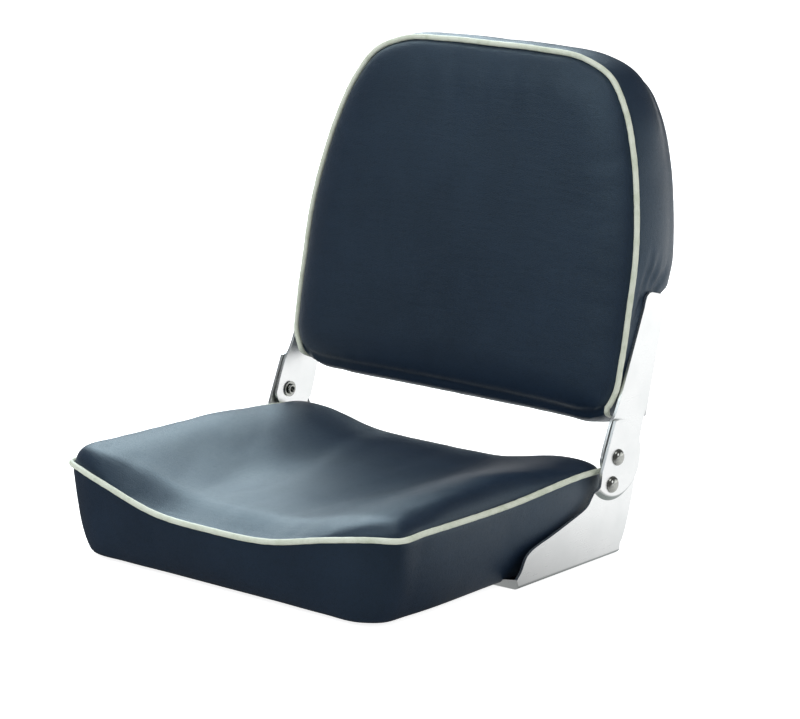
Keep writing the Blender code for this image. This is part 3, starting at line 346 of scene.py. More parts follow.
@dataclass(frozen=True)
class MarineVinyl:
    """PVC-coated vinyl on a knitted backing, calendered and embossed with a fine leather grain.

    It gives the eye a deep navy with a soft satin sheen, broken by small pebbles with painted shade between
    them, and faint stretch lines.
    """

    name: str = "PVC-coated marine vinyl, navy"
    body: str = "#16263c"
    bloom: str = "#1b2d45"
    hollow: str = "#0e1722"         # painted shade between the pebbles
    glint: str = "#d3ecf7"
    grain: float = 1.5 * MM         # pebble width; the real one is about 0.8 mm, too fine to show
    stretch: Place = (45.0, 240.0, 160.0)       # stretch lines in a metre, each way
    roughness: float = 0.38
    hollow_roughness: float = 0.50
    specular: float = 0.80
    refraction: float = 1.53

    def material(self) -> bpy.types.Material:
        """Builds the node material.

        Returns:
            The material.
        """
        made = Shading(bpy.data.materials.new(self.name))
        place = made.spots["Object"]
        warp = made.add("TexNoise", {"Vector": place, "Scale": 0.4 / self.grain, "Detail": 2.0})
        bent = made.add("VectorMath", {0: warp.outputs["Color"], "Scale": 0.45 * self.grain},
                        operation="SCALE").outputs[0]
        moved = made.add("VectorMath", {0: place, 1: bent}, operation="ADD").outputs[0]
        cells = made.add("TexVoronoi", {"Vector": moved, "Scale": 1 / self.grain, "Randomness": 0.9},
                         feature="DISTANCE_TO_EDGE").outputs["Distance"]
        pebbles = made.ramp(cells, 0.0, 0.16)
        cloudy = made.noise(16.0, 5.0, Roughness=0.6)
        tone = made.mix(made.ramp(cloudy, 0.35, 0.75), self.body, self.bloom)
        along = made.add("Mapping", {"Vector": place, "Scale": self.stretch}).outputs[0]
        lines = made.bump(made.noise(1.0, 4.0, Vector=along, Distortion=0.6), 0.45, 0.35 * MM)
        return made.finished({
            # painted shade: the colour darkens to the hollow colour between the pebbles
            "Base Color": made.mix(made.ramp(pebbles, 0.0, 1.0, 0.55, 0.0), tone, self.hollow),
            "Normal": made.bump(pebbles, 0.60, 0.12 * MM, Normal=lines),
            "Roughness": made.math("ADD", made.ramp(cloudy, 0.3, 0.7, -0.02, 0.03),
                                   made.ramp(pebbles, 0, 1, self.hollow_roughness, self.roughness)),
            "Specular IOR Level": self.specular, "Specular Tint": linear(self.glint), "IOR": self.refraction})


@dataclass(frozen=True)
class WeltVinyl:
    """Plain PVC sheet wrapped round a cord: pale, slightly green cream, dusty in patches."""

    name: str = "PVC welt vinyl, cream"
    body: str = "#dce1d1"
    shade: str = "#bcc5ad"
    roughness: float = 0.42
    specular: float = 0.45

    def material(self) -> bpy.types.Material:
        """Builds the node material.

        Returns:
            The material.
        """
        made = Shading(bpy.data.materials.new(self.name))
        dirt = made.noise(70.0, 4.0, Roughness=0.65)
        return made.finished({
            "Base Color": made.mix(made.ramp(dirt, 0.45, 0.80), self.body, self.shade),
            "Normal": made.bump(made.noise(900.0, 3.0), 0.4, 0.12 * MM),
            "Roughness": self.roughness, "Specular IOR Level": self.specular})


@dataclass(frozen=True)
class AnodisedAluminium:
    """Rolled 5052 sheet, etched and clear anodised: near white, satin, with faint rolling lines, and painted
    shade on the faces that turn downwards.
    """

    name: str = "anodised aluminium, satin"
    body: str = "#f6f8f8"
    dull: str = "#eef1f1"
    painted_underside_shade: str = "#8f9896"       # painted shade on faces that turn downwards, as where the sheet is bent under
    rolled: Place = (1500.0, 40.0, 1500.0)      # rolling lines in a metre, each way
    roughness: float = 0.31

    def material(self) -> bpy.types.Material:
        """Builds the node material.

        Returns:
            The material.
        """
        made = Shading(bpy.data.materials.new(self.name))
        along = made.add("Mapping", {"Vector": made.spots["Object"], "Scale": self.rolled}).outputs[0]
        rolling = made.noise(1.0, 3.0, Vector=along)
        cloudy = made.noise(28.0, 4.0)
        tone = made.mix(made.ramp(cloudy, 0.4, 0.8), self.body, self.dull)
        # painted shade: the colour turns grey as the surface faces downwards
        facing = made.add("SeparateXYZ", {0: made.spots["Normal"]}).outputs[2]
        return made.finished({
            "Base Color": made.mix(made.ramp(facing, -0.08, -0.55), tone, self.painted_underside_shade),
            "Roughness": made.math("ADD", made.ramp(rolling, 0.3, 0.7, -0.05, 0.06), made.ramp(
                cloudy, 0.3, 0.7, self.roughness - 0.03, self.roughness + 0.05)),
            "Normal": made.bump(rolling, 0.12, 0.02 * MM), "Metallic": 1.0})


@dataclass(frozen=True)
class StainlessSteel:
    """Cold-headed 304 stainless, tumbled bright, with fine specks from the tumbler."""

    name: str = "stainless steel, tumbled"
    body: str = "#b2b4ae"
    speck: str = "#a3a5a4"
    roughness: float = 0.09

    def material(self) -> bpy.types.Material:
        """Builds the node material.

        Returns:
            The material.
        """
        made = Shading(bpy.data.materials.new(self.name))
        specks = made.noise(420.0, 4.0)
        return made.finished({
            "Base Color": made.mix(made.ramp(specks, 0.35, 0.75), self.body, self.speck),
            "Roughness": made.ramp(specks, 0.3, 0.7, self.roughness - 0.04, self.roughness + 0.08),
            "Normal": made.bump(specks, 0.1, 0.03 * MM), "Metallic": 1.0})


@dataclass(frozen=True)
class MouldedPlastic:
    """A moulded thermoplastic with the fine spark-eroded texture of its tool."""

    name: str
    body: str
    texture: float = 0.7 * MM       # pitch of the tool's texture
    roughness: float = 0.5

    def material(self) -> bpy.types.Material:
        """Builds the node material.

        Returns:
            The material.
        """
        made = Shading(bpy.data.materials.new(self.name))
        pits, flow = made.noise(1 / self.texture, 2.0), made.noise(22.0, 3.0)
        tone = made.add("HueSaturation", {"Value": made.ramp(flow, 0.3, 0.7, 0.85, 1.2),
                                          "Color": linear(self.body)})
        return made.finished({
            "Base Color": tone.outputs[0],
            "Roughness": made.ramp(pits, 0.3, 0.7, self.roughness - 0.06, self.roughness + 0.1),
            "Normal": made.bump(pits, 0.3, 0.08 * MM)})


@dataclass
class Finishes:
    """Every finish of the seat, made once."""

    vinyl: bpy.types.Material = field(default_factory=MarineVinyl().material)
    welt: bpy.types.Material = field(default_factory=WeltVinyl().material)
    aluminium: bpy.types.Material = field(default_factory=AnodisedAluminium().material)
    steel: bpy.types.Material = field(default_factory=StainlessSteel().material)
    board: bpy.types.Material = field(
        default_factory=MouldedPlastic("moulded polypropylene, black", "#17181a").material)
    nylon: bpy.types.Material = field(
        default_factory=MouldedPlastic("natural nylon", "#dcdcd2", 0.4 * MM, 0.38).material)


def place_piece(obj: bpy.types.Object, material: bpy.types.Material, body: str, slot: str,
                nodes: tuple[str, ...] = ()) -> bpy.types.Object:
    """Gives a piece its finish, the body that it moves with and the CAD nodes that it stands for.

    Args:
        obj: the piece.
        material: its finish.
        body: the CAD body that carries it.
        slot: the record's material slot; not used.
        nodes: CAD nodes that it replaces.

    Returns:
        The same object.
    """
    obj.data.materials.clear()
    obj.data.materials.append(material)
    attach(obj, body)
    if nodes:
        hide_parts(*nodes)
    LOG.info("%s: %d faces, on %s", obj.name, len(obj.data.polygons), body)
    return obj


@dataclass
class ClosedCurve:
    """A smooth closed curve through control points, counted from the middle of the front or the bottom."""

    control: Points

    @classmethod
    def mirrored(cls, half: Points) -> "ClosedCurve":
        """Closes a half outline, from the middle plane round to the middle plane, by its mirror image."""
        other = half[-2:0:-1].copy()
        other[:, 0] *= -1
        return cls(np.vstack([half, other]))

    def at(self, places: Points) -> Points:
        """Points of the curve.

        Args:
            places: where they are, counted in control points.

        Returns:
            One point for each place.
        """
        loop = self.control
        count = len(loop)
        following = np.roll(loop, -1, axis=0)
        chord = np.linalg.norm(following - loop, axis=1)[:, None]
        slope = (following - loop) / chord
        before, span = np.roll(slope, 1, axis=0), np.roll(chord, 1, axis=0)
        tangent = (slope * span + before * chord) / (span + chord)
        index = np.floor(places).astype(int) % count
        t = (np.asarray(places) - np.floor(places))[:, None]
        after, run = (index + 1) % count, chord[index]
        return hermite(t, loop[index], run * tangent[index], loop[after], run * tangent[after])

    def places(self, start: float, end: float, count: int) -> Points:
        """Places that stand evenly by length along a stretch of the curve, without its end.

        Args:
            start: first place.
            end: place where the stretch ends.
            count: how many places.

        Returns:
            The places, counted in control points.
        """
        fine = np.linspace(start, end, 60 * count)
        steps = np.linalg.norm(np.diff(self.at(fine), axis=0), axis=1)
        length = np.concatenate([[0], np.cumsum(steps)])
        return np.interp(np.linspace(0, length[-1], count, endpoint=False), length, fine)


def inward(ring: Points, distance: Any) -> Points:
    """Moves a counter-clockwise ring in along its normals, in its first two coordinates.

    Args:
        ring: the ring's points.
        distance: how far, as one number or as one for each point.

    Returns:
        The moved ring.
    """
    tangent = np.roll(ring, -1, axis=0) - np.roll(ring, 1, axis=0)
    normal = np.stack([-tangent[:, 1], tangent[:, 0]], axis=1)
    normal /= np.linalg.norm(normal, axis=1)[:, None]
    moved = ring.copy()
    moved[:, :2] += normal * np.broadcast_to(distance, (len(ring),))[:, None]
    return moved


@dataclass
class Loft:
    """A closed padded form: rings that share their columns, closed at both ends by a four-sided patch."""

    across: int                 # columns along the first and third side
    along: int                  # columns along the second and fourth side

    @property
    def columns(self) -> int:
        """Columns round the form."""
        return 2 * (self.across + self.along)

    def column(self, i: int, j: int) -> int:
        """Finds the ring's column that a patch's border point stands on.

        Args:
            i: the point's number across.
            j: its number along.

        Returns:
            The column's number.
        """
        if j == 0:
            return i
        if i == self.across:
            return self.across + j
        if j == self.along:
            return 2 * self.across + self.along - i
        return self.columns - j

    def patch(self, ring: Points) -> Points:
        """Fills a ring with a smooth four-sided patch.

        Args:
            ring: the border, one point for each column.

        Returns:
            A grid of points, across by along, whose border is the ring.
        """
        m, n = self.across, self.along
        first, last = (ring[[self.column(i, j) for i in range(m + 1)]] for j in (0, n))
        left, right = (ring[[self.column(i, j) for j in range(n + 1)]] for i in (0, m))
        u = np.linspace(0, 1, m + 1)[:, None, None]
        v = np.linspace(0, 1, n + 1)[None, :, None]
        ruled = (1 - v) * first[:, None] + v * last[:, None] + (1 - u) * left[None] + u * right[None]
        corners = ((1 - u) * (1 - v) * first[0] + u * (1 - v) * first[-1]
                   + (1 - u) * v * last[0] + u * v * last[-1])
        return ruled - corners

    def mesh(self, name: str, rings: list[Points], low: Points, high: Points) -> bpy.types.Object:
        """Makes the closed mesh.

        Args:
            name: the object's name.
            rings: rings from the low patch round to the high patch.
            low: grid that closes the first ring.
            high: grid that closes the last ring.

        Returns:
            The mesh object.
        """
        n = self.columns
        points = [*np.vstack(rings)]
        faces = [(r * n + c, r * n + (c + 1) % n, (r + 1) * n + (c + 1) % n, (r + 1) * n + c)
                 for r in range(len(rings) - 1) for c in range(n)]
        for grid, row, flip in ((low, 0, True), (high, len(rings) - 1, False)):
            number = {}
            for i in range(self.across + 1):
                for j in range(self.along + 1):
                    if i in (0, self.across) or j in (0, self.along):
                        number[i, j] = row * n + self.column(i, j)
                    else:
                        number[i, j] = len(points)
                        points.append(grid[i, j])
            for i in range(self.across):
                for j in range(self.along):
                    face = (number[i, j], number[i + 1, j], number[i + 1, j + 1], number[i, j + 1])
                    faces.append(face[::-1] if flip else face)
        return mesh_object(name, points, faces)


@dataclass
class Crease:
    """A fold pressed into a cover: a line with a hollow along it and a low ridge beside it."""

    line: Points
    depth: float
    width: float

    def push(self, points: Points) -> Points:
        """How far each point moves out along its normal.

        Args:
            points: the cover's points.

        Returns:
            One length for each point, negative in the hollow.
        """
        best = np.full(len(points), 1e9)
        fade = np.zeros(len(points))
        total = np.linalg.norm(np.diff(self.line, axis=0), axis=1)
        done = 0.0
        for start, end, length in zip(self.line, self.line[1:], total):
            run = np.clip((points - start) @ (end - start) / length**2, 0, 1)
            away = np.linalg.norm(points - start - run[:, None] * (end - start), axis=1)
            share = (done + run * length) / total.sum()
            nearer = away < best
            best = np.where(nearer, away, best)
            fade = np.where(nearer, np.sin(math.pi * np.clip(share, 0.02, 0.98)) ** 0.7, fade)
            done += length
        x = best / self.width
        hollow, ridge = np.exp(-x**2), np.exp(-((x - 1.5) / 0.6) ** 2)
        return self.depth * fade * (0.45 * ridge - hollow)


SEAM_WEIGHTS = ((-1, 0.8), (0, 1.0), (1, 0.8), (2, 0.3))        # how firmly the rings at the seam are held


@dataclass
class Upholstery:
    """What both cushions share: rings of their covers, swelling, creases and welts."""

    finishes: Finishes
    loft: Loft = field(init=False)
    corners: tuple[float, ...] = field(init=False)      # where the loft's sides meet, in control points
    middle: float = field(init=False)                   # of the outline, in its second coordinate
    welt_radius: float = 0.0028
    cap: float = 4 * MM             # furthest that the foam may push the cover out
    start_in: float = 2.5 * MM      # how much smaller the cover starts
    show: float = 0.16              # share of the simulated puckers that the taut cover keeps
    frames: int = 20                # length of the simulation
    welt_taper: float = 14 * MM     # run over which an open welt's ends get thin
    rim: tuple[float, ...] = (0, 2, 5, 9, 14, 20, 26)       # panel rings beside the welt, in mm

    def spread(self, curve: ClosedCurve) -> Points:
        """Places on an outline for the loft's columns, even between its corners."""
        counts = (self.loft.across, self.loft.along) * 2
        return np.concatenate([curve.places(start, end, count) for start, end, count
                               in zip(self.corners, self.corners[1:], counts)])

    def around(self, flat: Points, edge: Points, values: Points) -> Points:
        """Looks up what belongs to an outline, in the direction of each point from the middle.

        Args:
            flat: the points.
            edge: the outline.
            values: one value for each point of the outline.

        Returns:
            One value for each point.
        """
        ring = np.arctan2(edge[:, 1] - self.middle, edge[:, 0])
        order = np.argsort(ring)
        angle = np.arctan2(flat[..., 1] - self.middle, flat[..., 0])
        return np.interp(angle, ring[order], values[order], period=2 * math.pi)

    def inset_of(self, flat: Points, edge: Points) -> Points:
        """How far points are in from an outline, measured towards the middle."""
        reach = np.hypot(edge[:, 0], edge[:, 1] - self.middle)
        return self.around(flat, edge, reach) - np.hypot(flat[..., 0], flat[..., 1] - self.middle)

    def shrunk(self, edge: Points, inset: float, first: float) -> Points:
        """A smaller ring, square to the outline at first and then towards the middle.

        Args:
            edge: the outline.
            inset: how far in the ring is.
            first: how much of that is square to the outline.

        Returns:
            The ring's first two coordinates.
        """
        beside = inward(edge, first)
        reach = np.hypot(beside[:, 0], beside[:, 1] - self.middle)
        share = 1 - (inset - first) / reach
        return np.stack([beside[:, 0] * share, self.middle + (beside[:, 1] - self.middle) * share], axis=1)

    def held_rings(self, obj: bpy.types.Object, weights: dict[int, Any]) -> Points:
        """Weights for the cover's vertices that hold whole rings.

        Args:
            obj: the cover.
            weights: for each held ring, one weight or one for each column.

        Returns:
            One weight for each vertex.
        """
        n, held = self.loft.columns, np.zeros(len(obj.data.vertices))
        for row, weight in weights.items():
            held[row * n:(row + 1) * n] = weight
        return held

    def swell(self, obj: bpy.types.Object, held: Points) -> None:
        """Blows the cover up by cloth simulation, as the foam fills it, and keeps a share of the result.

        Args:
            obj: the cover's closed mesh.
            held: for each vertex, 1 where the cover is sewn, stapled or pressed down, else 0 to 1.
        """
        mesh = obj.data
        rest, normals = read_mesh(mesh)
        start = rest - normals * (self.start_in * (1 - held))[:, None]
        mesh.vertices.foreach_set("co", start.ravel())
        group = obj.vertex_groups.new(name="held")
        for number, weight in enumerate(held):
            if weight > 0.01:
                group.add([number], float(weight), "REPLACE")
        cloth = obj.modifiers.new("cover", "CLOTH")
        settings = cloth.settings
        settings.quality = 5
        settings.mass = 0.3
        settings.tension_stiffness = settings.compression_stiffness = 12
        settings.shear_stiffness = 6
        settings.bending_stiffness = 0.6
        settings.use_pressure = True
        settings.uniform_pressure_force = 4
        settings.shrink_min = -0.012
        settings.vertex_group_mass = "held"
        settings.effector_weights.gravity = 0
        cloth.collision_settings.use_collision = False
        cloth.point_cache.frame_start, cloth.point_cache.frame_end = 1, self.frames
        for frame in range(1, self.frames + 1):
            bpy.context.scene.frame_set(frame)
        graph = bpy.context.evaluated_depsgraph_get()
        blown, _ = read_mesh(obj.evaluated_get(graph).data)
        obj.modifiers.clear()
        obj.vertex_groups.clear()
        bpy.context.scene.frame_set(1)
        shift = (blown - rest) * self.show
        size = np.linalg.norm(shift, axis=1)[:, None]
        shift *= np.tanh(size / self.cap) * self.cap / np.maximum(size, 1e-9)
        mesh.vertices.foreach_set("co", (rest + shift).ravel())
        mesh.update()

    def upholster(self, obj: bpy.types.Object, held: Points, body: str, nodes: tuple[str, ...]) -> None:
        """Swells the cover, subdivides it once, presses its creases in and dresses it.

        Args:
            obj: the cover's closed mesh.
            held: for each vertex, how firmly it is held.
            body: the CAD body that carries it.
            nodes: CAD nodes that it replaces.
        """
        self.swell(obj, held)
        smooth = obj.modifiers.new("smooth", "SUBSURF")
        smooth.levels = smooth.render_levels = 1
        applied(obj)
        mesh = obj.data
        points, normals = read_mesh(mesh)
        push = sum((crease.push(points) for crease in self.creases()), np.zeros(len(points)))
        mesh.vertices.foreach_set("co", (points + normals * push[:, None]).ravel())
        mesh.update()
        mesh.shade_smooth()
        place_piece(obj, self.finishes.vinyl, body, "vinyl", nodes)

    def creases(self) -> list[Crease]:
        """The cover's folds, which each cushion names."""
        return []

    def welt(self, name: str, line: Points, closed: bool, body: str, node: str) -> None:
        """Lays a vinyl-covered cord along a line, with the small unevenness of sewing.

        Args:
            name: the piece's name.
            line: the cord's middle.
            closed: True where the ends meet.
            body: the CAD body that carries it.
            node: the CAD node that it replaces.
        """
        curve = bpy.data.curves.new(name, "CURVE")
        curve.dimensions = "3D"
        curve.bevel_depth, curve.bevel_resolution = self.welt_radius, 4
        curve.use_fill_caps = True
        spline = curve.splines.new("POLY")
        spline.points.add(len(line) - 1)
        length = np.concatenate([[0], np.cumsum(np.linalg.norm(np.diff(line, axis=0), axis=1))])
        fat = 1 + 0.035 * wander(length, 19 * MM, 5)
        if not closed:
            fat = fat * (0.45 + 0.55 * ease(np.minimum(length, length[-1] - length) / self.welt_taper))
        for point, place, thick in zip(spline.points, line, fat):
            point.co = (*place, 1)
            point.radius = thick
        spline.use_cyclic_u = closed
        obj = applied(link(bpy.data.objects.new(name, curve)))
        obj.data.shade_smooth()
        place_piece(obj, self.finishes.welt, body, "piping_vinyl", (node,))


SEAT_EDGE_SHARES = (            # across, from front to rear, and how far the welt dips
    (0.00, -1.00, 1.025), (0.35, -0.893, 0.95), (0.69, -0.679, 0.30), (0.905, -0.339, 0.00),
    (1.0175, 0.002, -0.05), (1.020, 0.109, -0.025), (1.005, 0.489, 0.10), (1.00, 0.869, -0.10),
    (0.970, 0.965, 0.10), (0.86, 1.00, 0.70), (0.45, 1.00, 0.95), (0.00, 1.00, 0.95),
)
BASE_EDGE_SHARES = (            # across, and from front to rear
    (0.00, 0.000), (0.342, 0.000), (0.663, -0.003), (0.888, 0.0045), (0.9706, 0.0424), (0.992, 0.127),
    (1.000, 0.500), (1.000, 0.879), (0.980, 0.965), (0.87, 1.00), (0.45, 1.00), (0.00, 1.00),
)


@dataclass
class SeatCushion(Upholstery):
    """The seat: bolstered top panel, boxing turned under the board, and a welt between them."""

    half_width: float = 0.2000
    front: float = -0.1610
    rear: float = 0.1600
    bow: float = 0.0280             # how far the middle of the front stands ahead
    edge_height: float = 0.0800     # of the welt at the sides
    front_dip: float = 0.0200       # how far the welt sinks in the middle of the front
    trough: float = 0.0715          # height of the top between the bolsters
    bolster: float = 0.1000         # height of the bolsters
    rear_rise: float = 0.0050       # how much the trough rises to the rear
    dish: float = 0.0070            # how far the trough sinks in the middle
    bolster_fall: float = 0.0102    # how much lower the bolsters are at the rear
    right_fall: float = 0.0035      # and how much lower the right one is at the front
    trough_half: float = 0.0650
    bolster_reach: float = 0.1800
    roll: float = 0.0200            # width of the rolled edge beside the sides' welt
    front_roll: float = 0.0460      # in the middle of the front
    rear_roll: float = 0.0360       # along the rear
    right_roll: float = 0.0140      # and how much wider it is at the right one's front
    bulge: float = 0.0045           # how far the boxing stands out
    base_half_width: float = 0.1870
    base_front: float = -0.1710
    base_rear: float = 0.1590
    board: float = 0.0120
    hem: float = 0.0140
    cover: float = 0.0012           # thickness of the vinyl
    loft: Loft = field(default_factory=lambda: Loft(58, 50))
    corners: tuple[float, ...] = (-3.7, 3.7, 8.5, 13.5, 18.3)

    def __post_init__(self) -> None:
        """Draws the two outlines."""
        depth = self.rear - self.front
        edge = [(self.half_width * across, self.front + (depth if back > 0 else self.bow) * back,
                 self.edge_height - self.front_dip * dip) for across, back, dip in SEAT_EDGE_SHARES]
        depth = self.base_rear - self.base_front
        base = [(self.base_half_width * across, self.base_front + depth * back, 0.0)
                for across, back in BASE_EDGE_SHARES]
        self.edge_curve = ClosedCurve.mirrored(np.array(edge))
        places = self.spread(self.edge_curve)
        self.edge = self.edge_curve.at(places)
        self.base = ClosedCurve.mirrored(np.array(base)).at(places)
        self.middle = (self.front + self.rear) / 2

    def crown(self, x: Points, y: Points) -> Points:
        """Height of the top away from its edge.

        Args:
            x: places across.
            y: places from front to rear.

        Returns:
            Their heights.
        """
        along = (y - self.front) / (self.rear - self.front)
        back = ease(along)
        sunk = np.sin(math.pi * np.clip((along - 0.05) / 0.86, 0, 1))
        trough = self.trough + self.rear_rise * back - self.dish * sunk
        crest = self.bolster - self.bolster_fall * ease(2 * back - 1)
        crest = crest - self.right_fall * ease(1 - along / 0.28) * (x > 0)
        start = self.trough_half * (0.55 + 0.45 * back)
        reach = self.bolster_reach * (1.06 - 0.06 * back)
        return trough + (crest - trough) * rise(abs(x), start, reach - start)

    def on_top(self, flat: Points) -> Points:
        """Lifts points of the top panel to their height.

        Args:
            flat: the points' first two coordinates.

        Returns:
            The points in the model.
        """
        x, y = flat[..., 0], flat[..., 1]
        run = self.inset_of(flat, self.edge) - self.welt_radius
        height = self.around(flat, self.edge, self.edge[:, 2])
        forward = rise(-y, 0.050, 0.100) * (1 - rise(abs(x), 0.090, 0.090))
        behind = rise(y, self.rear - 0.080, 0.050)
        width = self.roll + (self.front_roll - self.roll) * forward + (self.rear_roll - self.roll) * behind
        width = width + self.right_roll * rise(x, 0.100, 0.050) * rise(-y, 0.070, 0.070)
        share = quarter_round(run / width) * (1 - forward) + forward * ease(run / width) ** 0.72
        return np.stack([x, y, height + (self.crown(x, y) - height) * share], axis=-1)

    def side(self, share: float) -> Points:
        """A ring of the boxing, at this share of its height."""
        ring = self.base + (self.edge - self.base) * share
        return inward(ring, -self.bulge * math.sin(math.pi * share ** 0.6))

    def build(self) -> None:
        """Makes the padded cushion and its welt."""
        board_edge, radius = self.cover + 0.3 * MM, self.welt_radius
        tucked = ((board_edge, self.board + 0.3 * MM), (board_edge, self.cover + 0.2 * MM),
                  (self.hem, self.cover + 0.1 * MM), (self.hem, 0.0), (4 * MM, 0.0), (1.2 * MM, 0.3 * MM))
        rings = []
        for inset, height in tucked:
            rings.append(inward(self.base, inset))
            rings[-1][:, 2] = height
        under = len(rings)
        highest = 1 - 1.25 * radius / self.edge[:, 2].mean()
        rings += [self.side(share) for share in (0.03, *np.linspace(0.09, highest, 13))]
        seam = len(rings)
        rings += [inward(self.edge, 0.8 * radius)]
        rings += [self.on_top(self.shrunk(self.edge, radius + step * MM, radius)) for step in self.rim]
        low = self.loft.patch(rings[0])
        high = self.on_top(self.loft.patch(rings[-1])[..., :2])
        obj = self.loft.mesh("seat_cushion", rings, low, high)
        held = self.held_rings(obj, dict.fromkeys(range(under), 1.0) | {under: 0.9} | {
            seam + step: weight for step, weight in SEAM_WEIGHTS})
        bottom = len(rings) * self.loft.columns
        held[bottom:bottom + (self.loft.across - 1) * (self.loft.along - 1)] = 1.0
        self.upholster(obj, held, "seat", ("seat_foam", "seat_top_panel", "seat_boxing"))
        line = self.edge_curve.at(self.edge_curve.places(0, len(self.edge_curve.control), 420))
        self.welt("seat_welt", line, True, "seat", "seat_piping")

    def creases(self) -> list[Crease]:
        """The two soft folds of the boxing, at its front right corner."""
        lines = (((0.196, -0.120, 0.052), (0.186, -0.158, 0.030), 4),
                 ((0.150, -0.176, 0.050), (0.172, -0.170, 0.026), 5))
        return [Crease(np.array(spots), 0.5 * MM, width * MM) for *spots, width in lines]


BACK_EDGE_SHARES = (            # across, and up the face
    (0.00, 0.000), (0.40, 0.000), (0.69, 0.000), (0.855, 0.008), (0.945, 0.034), (0.987, 0.085),
    (1.000, 0.170), (1.002, 0.320), (0.997, 0.470), (0.962, 0.610), (0.902, 0.750),
    (0.825, 0.860), (0.715, 0.945), (0.560, 0.985), (0.290, 0.999), (0.00, 1.000),
)
NOSE_SHARES = (1.0, 1.0, 1.0, 0.9, 0.55, 0.15, 0, 0, 0, 0, 0, 0, 0, 0, 0, 0)
REAR_DEPTHS = (
    (0, 0.72), (0.10, 0.88), (0.22, 0.97), (0.45, 1), (0.65, 1), (0.80, 0.98), (0.92, 0.96), (1, 0.93))


@dataclass
class BackFrame:
    """The backrest's own frame: across, up its front face, and forward of it."""

    pivot: Vector = field(default_factory=lambda: Vector(PIVOT))
    lean: float = math.radians(12.0)
    setback: float = -0.0040
    rear_lean: float = math.radians(3.04)
    depth: float = 0.0465
    bottom: float = 0.0290
    top: float = 0.3730

    def world(self, points: Points) -> Points:
        """Takes points from the backrest's frame to the model's.

        Args:
            points: places across, up the face and ahead of it.

        Returns:
            The same points in the model.
        """
        x, up, ahead = points[..., 0], points[..., 1], points[..., 2]
        y = self.pivot.y + self.setback + up * math.sin(self.lean) - ahead * math.cos(self.lean)
        z = self.pivot.z + up * math.cos(self.lean) + ahead * math.sin(self.lean)
        return np.stack([x, y, z], axis=-1)

    def side_view(self, points: Points) -> tuple[Points, Points]:
        """How far points of the model are up the front face and behind it."""
        y, z = points[:, 1] - self.pivot.y - self.setback, points[:, 2] - self.pivot.z
        return (y * math.sin(self.lean) + z * math.cos(self.lean),
                y * math.cos(self.lean) - z * math.sin(self.lean))

    def rear(self, up: Any) -> Any:
        """Depth of the flat rear face, this far up."""
        return self.depth + (up - self.bottom) * math.tan(self.rear_lean)

    def flange_line(self, behind: float, up: float) -> Spot:
        """A point behind the flat rear face, in the side view from the pivot."""
        depth = self.rear(up) + behind
        return (self.setback + depth * math.cos(self.lean) + up * math.sin(self.lean),
                up * math.cos(self.lean) - depth * math.sin(self.lean))


